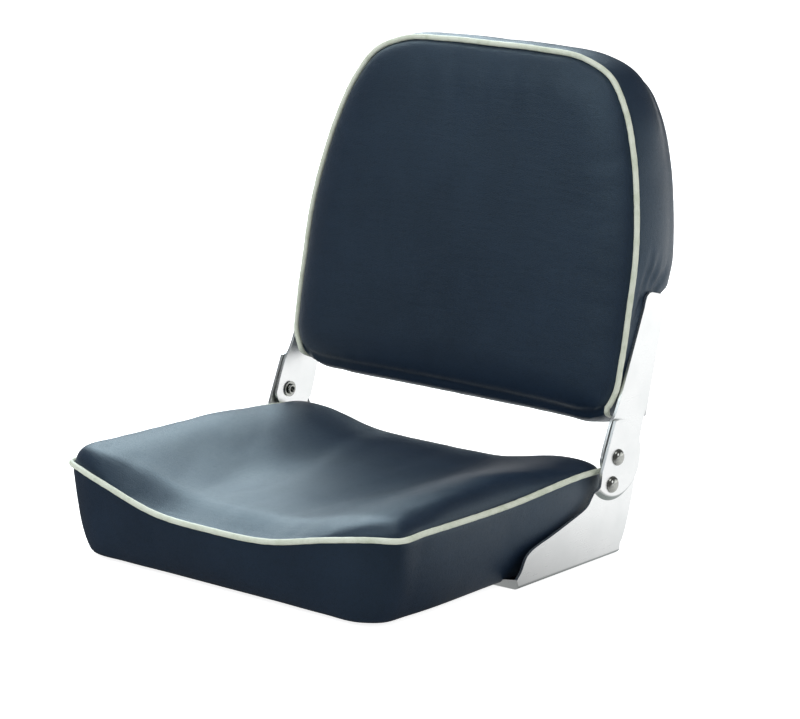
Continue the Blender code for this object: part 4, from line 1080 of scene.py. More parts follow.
@dataclass
class BackCushion(Upholstery):
    """The backrest: crowned front panel, boxing and rear panel, with a welt from corner to corner."""

    frame: BackFrame = field(default_factory=BackFrame)
    half_width: float = 0.2030
    nose: float = 0.0090            # how much higher the front panel's lower edge is
    corner: float = 0.0100
    front_crown: float = 0.0120
    full_depth: float = 0.0745
    loose: float = 0.0080           # added to the corner's radius above the arms
    rear_crown: float = 0.0040
    crown_roll: float = 0.0450
    bulge_run: float = 0.0340       # run over which the rear swells out above the arms
    flat_width: float = 0.0520      # of the flat rear under each arm
    arm_up: float = 0.1570          # up the face to the top of the arms' flanges
    welt_start: float = 4.15
    tails: Spot = (-0.28, 0.44)     # how far the welt's ends run on round the left and the right corner
    tuck: float = 0.0120            # how far back the welt's ends are tucked
    droop: float = 0.0030           # how far the cover's lower right corner hangs
    loft: Loft = field(default_factory=lambda: Loft(54, 56))
    corners: tuple[float, ...] = (-4.4, 4.4, 12.2, 17.8, 25.6)

    def __post_init__(self) -> None:
        """Draws the front and rear outlines."""
        height = self.frame.top - self.frame.bottom

        def outline(nose: float) -> ClosedCurve:
            """The outline, drawn in along the bottom by the nose."""
            return ClosedCurve.mirrored(np.array([
                (self.half_width * across, self.frame.bottom + height * up + nose * share, 0.0)
                for (across, up), share in zip(BACK_EDGE_SHARES, NOSE_SHARES)]))

        self.front_curve, self.rear_curve = outline(self.nose), outline(0.0)
        places = self.spread(self.rear_curve)
        self.edge = self.drooped(self.front_curve.at(places))
        self.back = self.drooped(self.rear_curve.at(places))
        self.middle = (self.frame.bottom + self.frame.top) / 2
        count = len(self.rear_curve.control)
        turn = places % count
        self.sewn = rise(np.minimum(turn, count - turn), self.welt_start, 0.5)

    def drooped(self, line: Points) -> Points:
        """Lets the lower right corner hang as the sewn cover does."""
        corner = rise(line[:, 0], 0.120, 0.060) * rise(-line[:, 1], -0.075, 0.045)
        return line + self.droop * corner[:, None] * (0.35, -1, 0)

    def on_front(self, flat: Points) -> Points:
        """Puts points of the front panel at their height ahead of the welt's plane.

        Args:
            flat: the points' first two coordinates.

        Returns:
            The points in the backrest's frame.
        """
        run = self.inset_of(flat, self.edge) - self.welt_radius
        pulled = 1.0 * MM * np.exp(-(run / (1.8 * MM)) ** 2)
        ahead = self.front_crown * quarter_round(run / self.crown_roll) - pulled
        return np.stack([flat[..., 0], flat[..., 1], ahead], axis=-1)

    def rear_depth(self, x: Points, up: Points) -> Points:
        """Depth of the rear: flat under the arms' flanges and swelling out elsewhere.

        Args:
            x: places across.
            up: places up the face.

        Returns:
            Their depths behind the welt's plane.
        """
        frame = self.frame
        heights, depths = np.transpose(REAR_DEPTHS)
        share = (up - frame.bottom) / (frame.top - frame.bottom)
        full = self.full_depth * np.polyval(np.polyfit(heights, depths, 5), share)
        full = full + self.rear_crown * (1 - (x / self.half_width) ** 2)
        above = (rise(up, self.arm_up + 1.2 * MM, 5 * MM) + rise(up, self.arm_up, self.bulge_run)) / 2
        beside = rise(-abs(x), self.flat_width - self.half_width, self.crown_roll)
        return frame.rear(up) + (full - frame.rear(up)) * (above + beside - above * beside)

    def on_rear(self, flat: Points) -> Points:
        """Puts points of the rear panel at their depth, rounded towards the outline.

        Args:
            flat: the points' first two coordinates.

        Returns:
            The points in the backrest's frame.
        """
        x, up = flat[..., 0], flat[..., 1]
        radius = self.rounding(up)
        round_edge = quarter_round(self.inset_of(flat, self.back) / radius)
        return np.stack([x, up, radius * (1 - round_edge) - self.rear_depth(x, up)], axis=-1)

    def rounding(self, up: Points) -> Points:
        """Radius of the rear corner, tighter where the arms hold it."""
        return self.corner + self.loose * rise(up, self.arm_up, 0.030)

    def boxing(self, share: float) -> Points:
        """A ring of the boxing.

        Args:
            share: where it is between the front seam and the rear corner.

        Returns:
            The ring in the backrest's frame.
        """
        x, up, _ = self.back.T
        depth = (self.rear_depth(x, up) - self.rounding(up)) * share
        run = quarter_round(depth / (1.5 * self.nose))[:, None]
        free, high, beside = rise(up, self.arm_up, 0.035), rise(up, 0.260, 0.070), rise(abs(x), 0.090, 0.060)
        puff = (0.7 + 4.0 * free + (2.5 + 3.0 * beside) * high) * MM * self.sewn
        ring = inward(self.edge + (self.back - self.edge) * run, -puff * math.sin(math.pi * share))
        ring[:, 2] = -depth
        return ring

    def build(self) -> None:
        """Makes the padded backrest and its welt."""
        radius = self.welt_radius
        rear_insets = [*(step * MM for step in (60, 52, 43, 34, 26, 19, 14)), self.corner,
                       6.5 * MM, 3.5 * MM, 1.4 * MM]
        rings = [self.on_rear(self.shrunk(self.back, inset, min(inset, 8 * MM))) for inset in rear_insets]
        rings += [self.boxing(share) for share in np.linspace(0.97, 0.055, 13)]
        groove = inward(self.edge, 0.8 * radius * self.sewn)
        groove[:, 2] = -1.0 * MM
        seam = len(rings)
        rings += [groove]
        rings += [self.on_front(self.shrunk(self.edge, radius + step * MM, radius)) for step in self.rim]
        low = self.on_rear(self.loft.patch(rings[0])[..., :2])
        high = self.on_front(self.loft.patch(rings[-1])[..., :2])
        world = self.frame.world
        obj = self.loft.mesh("backrest_cushion", [world(ring) for ring in rings], world(low), world(high))
        sewn = {seam + step: weight * self.sewn + 0.4 * (1 - self.sewn) for step, weight in SEAM_WEIGHTS}
        held = self.held_rings(obj, dict.fromkeys(range(6, 12), 0.7) | sewn)
        nodes = ("back_foam", "back_front_panel", "back_boxing", "back_rear_panel", "back_rear_pad")
        self.upholster(obj, np.maximum(held, self.under_arms(obj)), "backrest", nodes)
        count = len(self.front_curve.control)
        ends = (self.welt_start, count - self.welt_start)
        line = self.drooped(self.front_curve.at(self.front_curve.places(*ends, 400)))
        first, last = (self.tail(end, run) for end, run in zip(ends, self.tails))
        line = world(np.concatenate([first[::-1], line, last]))
        self.welt("backrest_welt", line, False, "backrest", "back_piping")

    def under_arms(self, obj: bpy.types.Object) -> Points:
        """Weights that hold the cover where the arms press on it.

        Args:
            obj: the cover.

        Returns:
            One weight for each vertex.
        """
        points, _ = read_mesh(obj.data)
        up, behind = self.frame.side_view(points)
        return (rise(-up, -self.arm_up - 0.012, 0.012) * rise(abs(points[:, 0]), 0.150, 0.012)
                * rise(behind, 0.004, 0.010))

    def tail(self, start: float, run: float) -> Points:
        """An end of the welt, turned back round the corner and under the cushion.

        Args:
            start: where the end leaves its seam, in control points.
            run: how far it runs on round the corner.

        Returns:
            The end's middle line, from the seam.
        """
        share = np.linspace(0, 1, 14)[1:]
        front, rear = self.front_curve.at(start + run * share), self.rear_curve.at(start + run * share)
        line = self.drooped(front + (rear - front) * quarter_round(share)[:, None])
        line[:, 2] = -self.tuck * share ** 1.6
        return line

    def creases(self) -> list[Crease]:
        """Folds that fan out where the arms pinch the boxing, and one at each lower corner.

        Returns:
            The folds of both sides.
        """
        x = 0.2045
        lines = (((x, 0.118, -0.009), (x, 0.152, -0.016), (x, 0.200, -0.021), 1.3, 3.6),
                 ((x, 0.138, -0.016), (x, 0.160, -0.025), (x, 0.196, -0.034), 1.4, 4.0),
                 ((x, 0.148, -0.026), (x, 0.165, -0.037), (x, 0.184, -0.054), 1.5, 4.6),
                 ((0.190, 0.046, -0.001), (0.181, 0.038, -0.004), (0.172, 0.031, -0.012), 1.6, 4.0))
        return [Crease(self.frame.world(np.array(spots) * (side.value, 1, 1)), depth * MM, width * MM)
                for side in Side for *spots, depth, width in lines]


def arc(centre: Spot, radius: float, start: float, end: float, steps: int) -> Flat:
    """Points along an arc, its angles in radians."""
    return [(centre[0] + radius * math.cos(a), centre[1] + radius * math.sin(a))
            for a in np.linspace(start, end, steps)]


def circle(centre: Spot, radius: float, steps: int) -> Flat:
    """Points round a circle, each of them once."""
    return arc(centre, radius, 0, 2 * math.pi, steps + 1)[:-1]


def bearing(spot: Spot) -> float:
    """The angle at which a point stands, seen from the pivot."""
    return math.atan2(spot[1], spot[0])


def smooth_line(points: Flat, steps: int) -> Flat:
    """An open line through points, rounded between them.

    Args:
        points: the points that it passes.
        steps: pieces of line from one point to the next.

    Returns:
        The finer line, with both ends.
    """
    line = np.array(points, float)
    slope = np.gradient(line, axis=0)
    made = [tuple(hermite(t, line[i], slope[i], line[i + 1], slope[i + 1]))
            for i in range(len(line) - 1) for t in np.linspace(0, 1, steps, endpoint=False)]
    return [*made, tuple(line[-1])]


def rounded_corner(start: Spot, corner: Spot, end: Spot) -> Flat:
    """A corner rounded between two points of its sides."""
    a, b, c = (np.array(p) for p in (start, corner, end))
    return [tuple((1 - t) ** 2 * a + 2 * t * (1 - t) * b + t**2 * c) for t in np.linspace(0, 1, 6)]


def in_polygon(point: Spot, outline: Flat) -> bool:
    """Tells whether a point lies inside an outline.

    Args:
        point: the point.
        outline: the closed outline, its last point not repeated.

    Returns:
        True inside.
    """
    x, y = point
    inside = False
    for (x0, y0), (x1, y1) in zip(outline, [*outline[1:], outline[0]]):
        if (y0 > y) != (y1 > y) and x < x0 + (y - y0) * (x1 - x0) / (y1 - y0):
            inside = not inside
    return inside


@dataclass
class FormedSheet:
    """Sheet cut to a flat blank and then bent and dished."""

    name: str
    blank: Flat                                      # the blank's outline
    holes: list[Flat]
    form: Callable[[Points], tuple[Points, Points]]  # flat points to places and unit normals
    seeds: Points                                    # inner points that follow bends and dishes
    thickness: float = 0.0030
    edge: float = 0.00035               # width of the deburred edge
    clear: float = 0.0009               # seeds nearer to an outline than this are left out
    level: float = math.radians(0.4)    # faces that bend less than this become one

    def build(self) -> bpy.types.Object:
        """Cuts, forms and deburrs the sheet.

        Returns:
            The finished sheet.
        """
        points, edges = [], []
        for loop in (self.blank, *self.holes):
            first = len(points)
            points += [Vector(p) for p in loop]
            edges += [(first + i, first + (i + 1) % len(loop)) for i in range(len(loop))]
        border = np.array([p[:] for p in points])
        points += [Vector(seed) for seed in self.seeds if np.min(np.hypot(*(border - seed).T)) > self.clear]
        found, _, faces, *_ = delaunay_2d_cdt(points, edges, [], 2, 1e-7)
        places, normals = self.form(np.array([p[:] for p in found]))
        half, count = self.thickness / 2 * normals, len(found)
        sides = dict.fromkeys((a, b) for face in faces for a, b in zip(face, (*face[1:], face[0])))
        solid = [tuple(f) for f in faces] + [tuple(count + i for i in f[::-1]) for f in faces]
        solid += [(b, a, count + a, count + b) for a, b in sides if (b, a) not in sides]
        obj = mesh_object(self.name, np.vstack([places + half, places - half]), solid)
        tidy = bmesh.new()
        tidy.from_mesh(obj.data)
        bmesh.ops.recalc_face_normals(tidy, faces=tidy.faces)
        bmesh.ops.dissolve_limit(tidy, angle_limit=self.level, verts=tidy.verts, edges=tidy.edges)
        tidy.to_mesh(obj.data)
        tidy.free()
        return bevelled(obj, self.edge, 50)


BEND_STEPS = (0, 0.16, 0.33, 0.5, 0.67, 0.84, 1.0)      # shares of a bend or a joggle that get inner points


@dataclass
class HingeSizes:
    """Sizes that both halves of a hinge share, in the side view from the pivot."""

    pivot: Vector = field(default_factory=lambda: Vector(PIVOT))
    outer: float = 0.2070           # X of the web's outer face
    sheet: float = 0.0030
    step: float = 0.0046            # how far the ear stands outside the web
    ear: float = 0.0360
    joggle: float = 0.0060          # run over which the sheet steps out round the ear
    bend: float = 0.0050            # outer radius of the bends
    bore: float = 0.0043
    stop_bore: float = 0.0031
    stop_distance: float = 0.0261
    stop_angle: float = math.radians(-109.0)
    bush: float = 0.0042
    gap: float = 0.0003             # between pieces that touch in the real hinge

    @property
    def stop(self) -> Spot:
        """The stop rivet's place in the side view."""
        return self.stop_distance * math.cos(self.stop_angle), self.stop_distance * math.sin(self.stop_angle)

    @property
    def middle(self) -> float:
        """Radius of a bend in the middle of the sheet."""
        return self.bend - self.sheet / 2

    @property
    def turn(self) -> float:
        """Length of sheet that a bend takes."""
        return self.middle * QUARTER

    def bent(self, past: Points) -> tuple[Points, Points, Points]:
        """Lays sheet round a bend and straight on behind it.

        Args:
            past: how far points of the blank are past the bend's start.

        Returns:
            The angle that each point has turned, its X and how far it has moved along.
        """
        angle = np.clip(past / self.middle, 0, QUARTER)
        beyond = np.maximum(past - self.turn, 0)
        x = self.outer - self.sheet / 2 - self.middle * (1 - np.cos(angle)) - beyond
        return angle, x, self.middle * np.sin(angle)

    def place(self, side: Side, x: Points, y: Points, z: Points) -> Points:
        """Places in the model from the side view, on one side of the seat."""
        return np.stack([side.value * x, self.pivot.y + y, self.pivot.z + z], axis=1)


@dataclass
class Bracket:
    """The fixed half of a hinge: a web with a dished ear, its foot turned in under the board."""

    side: Side
    sizes: HingeSizes
    finishes: Finishes
    front: float = 0.0030
    rear: float = 0.1620
    foot: float = 0.0580
    foot_radius: float = 0.0060
    underside: float = -0.0033
    cut: tuple[Spot, ...] = ((-0.0040, 0.0350), (-0.0240, -0.0100), (-0.0265, -0.0240))
    toe: tuple[Spot, ...] = (
        (-0.0330, -0.0330), (-0.0430, -0.0420), (-0.0700, -0.0500), (-0.0950, -0.0565),
        (-0.1210, -0.0625), (-0.1330, -0.0690), (-0.1400, -0.0800))
    back: tuple[Spot, ...] = ((0.0150, -0.0840), (0.0220, -0.0690), (0.0320, -0.0360), (0.0350, -0.0085))

    @property
    def bend_line(self) -> float:
        """Where the web starts to bend, from the pivot."""
        return self.underside - self.sizes.pivot.z + self.sizes.bend

    def outline(self) -> Flat:
        """The blank, with the foot laid out flat below the web.

        Returns:
            Its points in the side view from the pivot.
        """
        s, radius = self.sizes, self.foot_radius
        high, low = self.bend_line + s.bend, self.bend_line - (s.turn + self.foot - s.bend)
        rear, front = self.rear - s.pivot.y, self.front - s.pivot.y
        ear = arc((0, 0), s.ear, bearing(self.cut[0]), bearing(self.back[-1]), 30)
        foot = [(rear, high), (rear, low + radius),
                *arc((rear - radius, low + radius), radius, 0, -QUARTER, 6)[1:],
                *arc((front + radius, low + radius), radius, -QUARTER, -2 * QUARTER, 6), (front, high)]
        edge = smooth_line([foot[-1], *self.toe[::-1], self.cut[2], self.cut[1]], 4)
        rear_edge = smooth_line([ear[-1], *self.back[-2::-1], foot[0]], 4)
        return [*ear[:-1], *rear_edge[:-1], *foot[:-1], *edge]

    def dish(self, radius: Points) -> Points:
        """How far the ear stands out, this far from the pivot."""
        s = self.sizes
        return s.step * ease((s.ear + s.joggle - radius) / s.joggle)

    def form(self, flat: Points) -> tuple[Points, Points]:
        """Dishes the ear and turns the foot in.

        Args:
            flat: points of the blank.

        Returns:
            Their places in the model and the sheet's normals there.
        """
        s = self.sizes
        y, z = flat.T
        radius = np.hypot(y, z)
        radii = np.linspace(0, 0.2, 4001)
        tilt = np.interp(radius, radii, np.gradient(self.dish(radii), radii[1]))
        drop = np.maximum(self.bend_line - z, 0)
        angle, x, along = s.bent(drop)
        height = np.where(drop > 0, self.bend_line - along, z)
        away = np.maximum(radius, 1e-6)
        normal = np.stack([np.cos(angle), -tilt * y / away, -tilt * z / away - np.sin(angle)], axis=1)
        normal /= np.linalg.norm(normal, axis=1)[:, None]
        normal[:, 0] *= self.side.value
        return s.place(self.side, x + self.dish(radius), y, height), normal

    def build(self) -> None:
        """Makes the bracket."""
        s, blank = self.sizes, self.outline()
        rings = [circle((0, 0), s.ear + share * s.joggle, 89) for share in (-0.25, *BEND_STEPS, 1.25)]
        inside = [p for p in sum(rings, []) if in_polygon(p, blank)]
        spots = np.arange(self.front - s.pivot.y + 2 * MM, self.rear - s.pivot.y, 6 * MM)
        rows = [(y, self.bend_line - s.turn * share) for share in (-0.4, *BEND_STEPS, 1.4) for y in spots]
        holes = [circle((0, 0), s.bore, 32), circle(s.stop, s.stop_bore, 24)]
        sheet = FormedSheet(f"hinge_bracket_{self.side.word}", blank, holes, self.form,
                            np.array([*inside, *rows]))
        place_piece(sheet.build(), self.finishes.aluminium, "seat", "satin_aluminium",
                    (f"lower_bracket_{self.side.word}",))


@dataclass
class Arm:
    """The moving half of a hinge: a flat web with a flange turned in behind the backrest."""

    side: Side
    sizes: HingeSizes
    frame: BackFrame
    finishes: Finishes
    nose: float = 0.0190
    heel: float = 0.0333
    heel_end: float = 0.12          # angle left for the blend from the heel to the rear edge
    top: float = 0.1416             # of the flange, above the pivot
    flange: float = 0.0380
    flange_bottom: float = 0.0400
    corner: float = 0.0080
    screw_bore: float = 0.0033
    screw_inset: float = 0.0220
    screw_heights: tuple[float, ...] = (0.0700, 0.1220)
    rear: tuple[Spot, ...] = ((0.0497, 0.0350), (0.0445, 0.0220), (0.0387, 0.0020), (0.0330, -0.0140))
    ahead: tuple[Spot, ...] = (
        (-0.0185, 0.0000), (-0.0148, 0.0110), (-0.0050, 0.0330), (0.0075, 0.0510), (0.0449, 0.1355))
    tip: tuple[Spot, ...] = ((0.0470, 0.1420), (0.0492, 0.1462), (0.0530, 0.1488), (0.0570, 0.1490))

    def __post_init__(self) -> None:
        """Finds the line that the flange's rear face stands on."""
        low = np.array(self.frame.flange_line(self.sizes.gap, 0))
        high = np.array(self.frame.flange_line(self.sizes.gap, self.frame.top))
        self.up = (high - low) / np.linalg.norm(high - low)
        self.back = np.array([self.up[1], -self.up[0]])
        self.start = low + self.back * self.sizes.sheet

    def flat_at(self, up: float, back: float) -> Spot:
        """A point of the blank, along the flange's line and behind it."""
        return tuple(self.start + self.up * up + self.back * back)

    def outline(self) -> Flat:
        """The blank, with the flange laid out flat behind the web.

        Returns:
            Its points in the side view from the pivot.
        """
        s = self.sizes
        clear = s.bush + s.gap
        toward = (s.stop[0] / s.stop_distance, s.stop[1] / s.stop_distance)
        face = (-toward[1] * clear, toward[0] * clear)

        def beside_bush(radius: float) -> Spot:
            """The face that rests on the bush, this far from the pivot."""
            run = math.sqrt(radius**2 - clear**2)
            return face[0] + toward[0] * run, face[1] + toward[1] * run

        nose = arc((0, 0), self.nose, math.pi, 2 * math.pi + bearing(beside_bush(self.nose)), 16)
        tail = self.rear[-1]
        heel = arc((0, 0), self.heel, bearing(beside_bush(self.heel)), bearing(tail) - self.heel_end, 14)
        low, high = self.flange_bottom, (self.top - self.start[1]) / self.up[1]
        reach = s.turn + self.flange - s.bend - s.bend
        inner = reach - self.corner
        flange = [self.flat_at(low, -s.bend),
                  *rounded_corner(self.flat_at(low, inner), self.flat_at(low, reach),
                                  self.flat_at(low + self.corner, reach)),
                  *rounded_corner(self.flat_at(high - self.corner, reach), self.flat_at(high, reach),
                                  self.flat_at(high, inner)), self.flat_at(high, -s.bend)]
        return [*heel, *smooth_line([tail, *self.rear[2::-1]], 3), *flange, *self.tip[::-1],
                *smooth_line(list(self.ahead[::-1]), 4)[:-1], *nose]

    def form(self, flat: Points) -> tuple[Points, Points]:
        """Turns the flange in.

        Args:
            flat: points of the blank.

        Returns:
            Their places in the model and the sheet's normals there.
        """
        s = self.sizes
        up, back = (flat - self.start) @ self.up, (flat - self.start) @ self.back
        past = np.where(up > self.flange_bottom - 1e-6, np.maximum(back + s.bend, 0), 0)
        angle, x, along = s.bent(past)
        depth = np.where(past > 0, -s.bend + along, back)
        side_view = self.start + up[:, None] * self.up + depth[:, None] * self.back
        normal = np.stack([np.cos(angle), np.sin(angle) * self.back[0], np.sin(angle) * self.back[1]], axis=1)
        normal[:, 0] *= self.side.value
        return s.place(self.side, x, side_view[:, 0], side_view[:, 1]), normal

    def build(self) -> None:
        """Makes the arm."""
        s, blank = self.sizes, self.outline()
        rows = [self.flat_at(up, -s.bend + s.turn * share) for share in (-0.4, *BEND_STEPS, 1.4)
                for up in np.arange(self.flange_bottom + 2 * MM, 0.150, 5 * MM)]
        seeds = np.array([p for p in rows if in_polygon(p, blank)])
        reach = s.turn - s.bend + (self.screw_inset - s.bend)
        holes = [circle((0, 0), s.bore, 32),
                 *(circle(self.flat_at(height, reach), self.screw_bore, 24) for height in self.screw_heights)]
        sheet = FormedSheet(f"hinge_arm_{self.side.word}", blank, holes, self.form, seeds)
        place_piece(sheet.build(), self.finishes.aluminium, "backrest", "satin_aluminium",
                    (f"arm_{self.side.word}",))


@dataclass
class HingePins:
    """A hinge's two rivets with their washer, spacer and bush."""

    side: Side
    sizes: HingeSizes
    finishes: Finishes
    head: float = 0.0080
    head_height: float = 0.0042
    head_rim: float = 0.0005        # height of the head's straight rim
    shank: float = 0.0040
    stop_shank: float = 0.0028
    rolled: float = 0.0054          # radius of the rolled-over end
    roll_bore: float = 0.0026
    roll_height: float = 0.0024
    washer: float = 0.0080
    washer_thickness: float = 0.0013
    spacer: float = 0.0110

    def frame(self, spot: Spot, x: float) -> Matrix:
        """A frame at this place of the side view, its Z outwards."""
        place = self.sizes.pivot + Vector((0, *spot))
        turn = Matrix.Rotation(self.side.value * QUARTER, 4, "Y")
        return Matrix.Translation((self.side.value * x, place.y, place.z)) @ turn

    def rivet(self, name: str, spot: Spot, shank: float, inner: float, node: str) -> None:
        """A domed rivet, rolled over at its inner end.

        Args:
            name: the piece's name.
            spot: its place in the side view.
            shank: the shank's radius.
            inner: X of the face that it is rolled over.
            node: the CAD node that it stands for.
        """
        gap, rim = self.sizes.gap, self.head_rim
        outside = self.sizes.outer + self.sizes.step
        low = -(outside - inner) - gap
        dome = [((self.head - 0.3 * MM) * math.sin(a), gap + rim + (self.head_height - rim) * math.cos(a))
                for a in np.linspace(0, QUARTER, 10)]
        middle, half = (self.rolled + self.roll_bore) / 2, self.roll_height / 2
        width = (self.rolled - self.roll_bore) / 2
        curl = [(middle + width * math.cos(a), low - half + min(half * math.sin(a), 0.9 * half * math.sin(a)))
                for a in np.linspace(0.45 * math.pi, -math.pi, 12)]
        profile = [*dome, (self.head, gap + 0.7 * rim), (self.head, gap), (shank, gap),
                   (shank, low + 0.1 * rim), *curl, (self.roll_bore, low + half), (0, low + half)]
        obj = turned(name, profile, self.frame(spot, outside), 44)
        place_piece(obj, self.finishes.steel, "seat", "stainless", (node,))

    def build(self) -> None:
        """Makes one hinge's pins."""
        s, word, gap, finishes = self.sizes, self.side.word, self.sizes.gap, self.finishes
        web, ear = s.outer - s.sheet, s.outer + s.step - s.sheet
        under = web - gap - self.washer_thickness
        self.rivet(f"hinge_rivet_{word}", (0, 0), self.shank, under, f"pivot_rivet_{word}")
        self.rivet(f"limit_rivet_{word}", s.stop, self.stop_shank, web - gap, f"stop_rivet_{word}")
        rings = (
            ("hinge_washer", (0, 0), self.shank, self.washer, under, web - gap, "pivot_washer"),
            ("hinge_spacer", (0, 0), self.shank, self.spacer, s.outer + gap, ear - gap, "pivot_spacer"),
            ("limit_bush", s.stop, self.stop_shank, s.bush, web - gap, ear - gap, "stop_bush"))
        for name, spot, shank, radius, inner, outer, node in rings:
            bore, thickness = shank + gap, outer - inner
            profile = [(bore, thickness), (radius, thickness), (radius, 0), (bore, 0)]
            obj = turned(f"{name}_{word}", profile, self.frame(spot, inner), 40, closed=True)
            finish, slot = (finishes.steel, "stainless") if "washer" in name else (finishes.nylon, "nylon")
            place_piece(obj, finish, "seat", slot, (f"{node}_{word}",))


@dataclass
class CarriedNodes:
    """CAD nodes whose shape stays, and gets its finish here."""

    finishes: Finishes
    endings: tuple[tuple[str, str], ...] = (
        ("seat_base_board", "board"), ("back_board", "board"), ("pedestal_insert", "steel"),
        ("bracket_insert", "steel"), ("back_insert", "steel"), ("bracket_screw", "steel"),
        ("arm_screw", "steel"))

    def dress(self, nodes: Any) -> None:
        """Gives each carried node its procedural finish.

        Args:
            nodes: names of the model's nodes.
        """
        for name in nodes:
            for start, finish in self.endings:
                if name.startswith(start):
                    obj = bpy.data.objects[name]
                    for slot in obj.material_slots:
                        slot.material = getattr(self.finishes, finish)
                    LOG.info("%s carries on as %s", name, finish)


@dataclass
class Staples:
    """Wire staples that hold the boxing's hem under the board."""

    cushion: SeatCushion
    inset: float = 0.0085           # in from the cushion's lower outline
    pitch: float = 0.024
    crown: float = 0.0095
    wire: float = 0.0006
    sides: int = 6
    foot_start: float = 0.145       # beside the brackets' feet there are none

    def spots(self) -> list[tuple[Points, float]]:
        """Where the staples are, unevenly spaced as by hand.

        Returns:
            Each staple's middle and the way that it points, as an angle about Z.
        """
        ring = inward(self.cushion.base, self.inset)
        length = np.concatenate([[0], np.cumsum(np.linalg.norm(np.diff(ring, axis=0), axis=1))])
        total = length[-1] + np.linalg.norm(ring[0] - ring[-1])
        count = int(total / self.pitch)
        found = []
        for number in range(count):
            at = (number + 0.5 + 0.12 * math.sin(7.3 * number)) * total / count
            spot, ahead = (np.array([np.interp(place, length, ring[:, k]) for k in range(3)])
                           for place in (at, at + 2 * MM))
            if abs(spot[0]) <= self.foot_start or spot[1] <= 0:
                run = ahead - spot
                found.append((spot, math.atan2(run[1], run[0]) + 0.2 * math.sin(3.1 * number)))
        return found

    def build(self) -> None:
        """Makes every staple as one piece."""
        points, faces, n = [], [], self.sides
        for spot, angle in self.spots():
            along = np.array([math.cos(angle), math.sin(angle), 0.0])
            across = np.array([-along[1], along[0], 0.0])
            first = len(points)
            for end in (-1, 1):
                for turn in np.arange(n) * 2 * math.pi / n:
                    flattened = np.array([0, 0, self.wire * (math.sin(turn) * 0.7 - 0.2)])
                    points.append(spot + along * end * self.crown / 2
                                  + across * self.wire * math.cos(turn) + flattened)
            near, far = range(first, first + n), range(first + n, first + 2 * n)
            faces += [(near[a], near[(a + 1) % n], far[(a + 1) % n], far[a]) for a in range(n)]
            faces += [tuple(near)[::-1], tuple(far)]
        obj = mesh_object("hem_staples", points, faces)
        obj.data.shade_smooth()
        place_piece(obj, self.cushion.finishes.steel, "seat", "stainless")


def stand(name: str, data: Any, place: Place, aim: Place) -> bpy.types.Object:
    """Puts a camera or a lamp into the scene, turned to a point.

    Args:
        name: the object's name.
        data: the camera or the lamp.
        place: where it stands.
        aim: the point that it faces.

    Returns:
        The new object.
    """
    obj = link(bpy.data.objects.new(name, data))
    away = Vector(aim) - Vector(place)
    obj.matrix_world = Matrix.Translation(place) @ away.to_track_quat("-Z", "Y").to_matrix().to_4x4()
    return obj


@dataclass(frozen=True)
class Lamp:
    """A soft rectangular lamp."""

    name: str
    place: Place
    aim: Place
    size: Spot                      # width and height
    power: float                    # watts
    color: Place = (1, 1, 1)

    def hang(self) -> None:
        """Puts the lamp into the scene."""
        data = bpy.data.lights.new(self.name, "AREA")
        data.shape = "RECTANGLE"
        data.size, data.size_y = self.size
        data.energy, data.color = self.power, self.color
        stand(self.name, data, self.place, self.aim)


LAMPS = (
    Lamp("back_left", (-1.70, 1.20, 1.60), (-0.10, -0.05, 0.1), (1.7, 1.8), 48, (0.80, 0.94, 1.0)),
    Lamp("overhead", (0.2, -0.7, 2.6), (0.0, 0.0, 0.1), (1.4, 1.4), 10),
    Lamp("front_high", (-0.60, -1.60, 1.55), (0.0, 0.15, 0.60), (1.2, 1.0), 9, (0.88, 0.96, 1.0)),
    Lamp("side_right", (2.6, 0.6, 1.0), (0.1, 0.1, 0.25), (0.8, 1.0), 6),
)


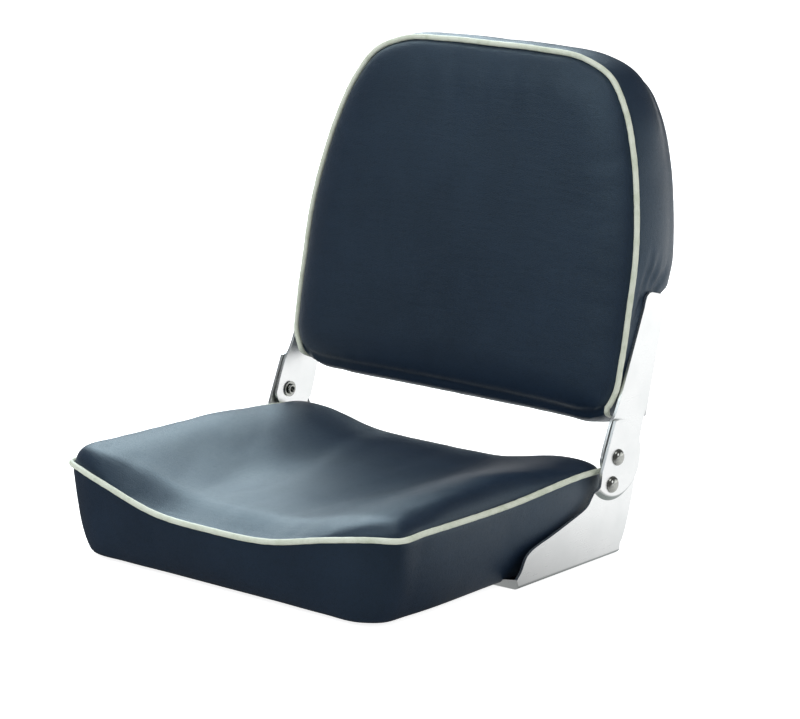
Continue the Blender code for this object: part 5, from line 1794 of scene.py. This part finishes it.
@dataclass
class Studio:
    """A white studio: pale floor, broad soft lamps and the photograph's camera.

    What its surfaces look like in the object's mirrors differs from what the camera sees: a dark room with a
    white screen beside the object and a lit floor behind it.
    """

    eye: Place = (1.9470, -2.2347, 0.8955)
    target: Place = (-0.0565, 0.1500, 0.1470)
    lens: float = 145.7
    sensor: float = 36.0
    floor_height: float = -0.0036
    floor_half: float = 6.0
    world_strength: float = 0.58
    floor_glow: float = 0.85
    dark_level: float = 0.12        # how bright the unlit room is in mirrors
    floor_level: float = 1.04       # how bright the floor behind the object is in mirrors
    bright_level: float = 1.60      # how bright the white screen and the floor far behind are in mirrors
    bright_side: Place = (0.62, 0.76, -0.16)        # the way to the white screen
    screen_edge: Spot = (0.85, 0.98)                # cosines between which it fades in
    floor_rise: Spot = (-0.10, 0.28)                # Y between which the floor gets lit
    far_rise: Spot = (1.15, 1.55)                   # and Y between which it gets as bright as the screen

    def camera(self) -> None:
        """Sets the camera up at the photograph's angle."""
        data = bpy.data.cameras.new("camera")
        data.lens, data.sensor_width = self.lens, self.sensor
        data.clip_start, data.clip_end = 0.05, 50
        bpy.context.scene.camera = stand("camera", data, self.eye, self.target)

    def world(self) -> None:
        """Makes the world: white to the camera, fill light to the object, a dark room in its mirrors."""
        world = bpy.data.worlds.new("studio")
        made = Shading(world)
        shown, glossy = made.rays()
        toward = made.add("VectorMath", {0: made.spots["Generated"], 1: self.bright_side},
                          operation="DOT_PRODUCT")
        mirrored = made.ramp(toward.outputs["Value"], *self.screen_edge, self.dark_level, self.bright_level)
        plain = made.ramp(shown, 0.0, 1.0, self.world_strength, 1.0)
        strength = made.add("Mix", {0: glossy, 2: plain, 3: mirrored}).outputs[0]
        made.finished({"Color": linear("#ffffff"), "Strength": strength}, "Background")
        bpy.context.scene.world = world

    def floor(self) -> None:
        """Lays the floor, which is white to the camera and has its own levels in mirrors."""
        half = self.floor_half
        floor = mesh_object("floor", [(-half, -half, 0), (half, -half, 0), (half, half, 0), (-half, half, 0)],
                            [(0, 1, 2, 3)])
        floor.location.z = self.floor_height
        made = Shading(bpy.data.materials.new("studio floor, matt white"))
        shown, glossy = made.rays()
        back = made.add("SeparateXYZ", {0: made.spots["Object"]}).outputs[1]
        level = made.math("ADD", made.ramp(back, *self.floor_rise, self.dark_level, self.floor_level),
                          made.ramp(back, *self.far_rise, 0.0, self.bright_level - self.floor_level))
        mirror = made.add("Emission", {"Color": linear("#ffffff"), "Strength": level}).outputs[0]
        glow = made.math("MULTIPLY", shown, self.floor_glow)
        floor.data.materials.append(made.finished({
            "Base Color": linear("#f4f4f4"), "Roughness": 0.9, "Specular IOR Level": 0.0,
            "Emission Color": linear("#ffffff"), "Emission Strength": glow}))
        matt = made.tree.nodes["Principled BSDF"].outputs[0]
        both = made.add("MixShader", {0: glossy, 1: matt, 2: mirror}).outputs[0]
        feed(made.tree.nodes["Material Output"], {"Surface": both})

    def build(self) -> None:
        """Makes the whole studio."""
        self.camera()
        self.world()
        self.floor()
        for lamp in LAMPS:
            lamp.hang()
        bpy.context.scene.view_settings.view_transform = "Standard"


def main() -> None:
    """Builds the seat in order and reports each piece."""
    logging.basicConfig(level=logging.INFO, format="%(name)s: %(message)s")
    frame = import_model()
    bpy.context.view_layer.update()
    Studio().build()
    finishes = Finishes()
    seat = SeatCushion(finishes)
    seat.build()
    back_frame = BackFrame()
    BackCushion(finishes, frame=back_frame).build()
    sizes = HingeSizes()
    for side in Side:
        Bracket(side, sizes, finishes).build()
        Arm(side, sizes, back_frame, finishes).build()
        HingePins(side, sizes, finishes).build()
    CarriedNodes(finishes).dress(frame["nodes"])
    Staples(seat).build()
    bpy.context.view_layer.update()


if __name__ == "__main__":
    main()
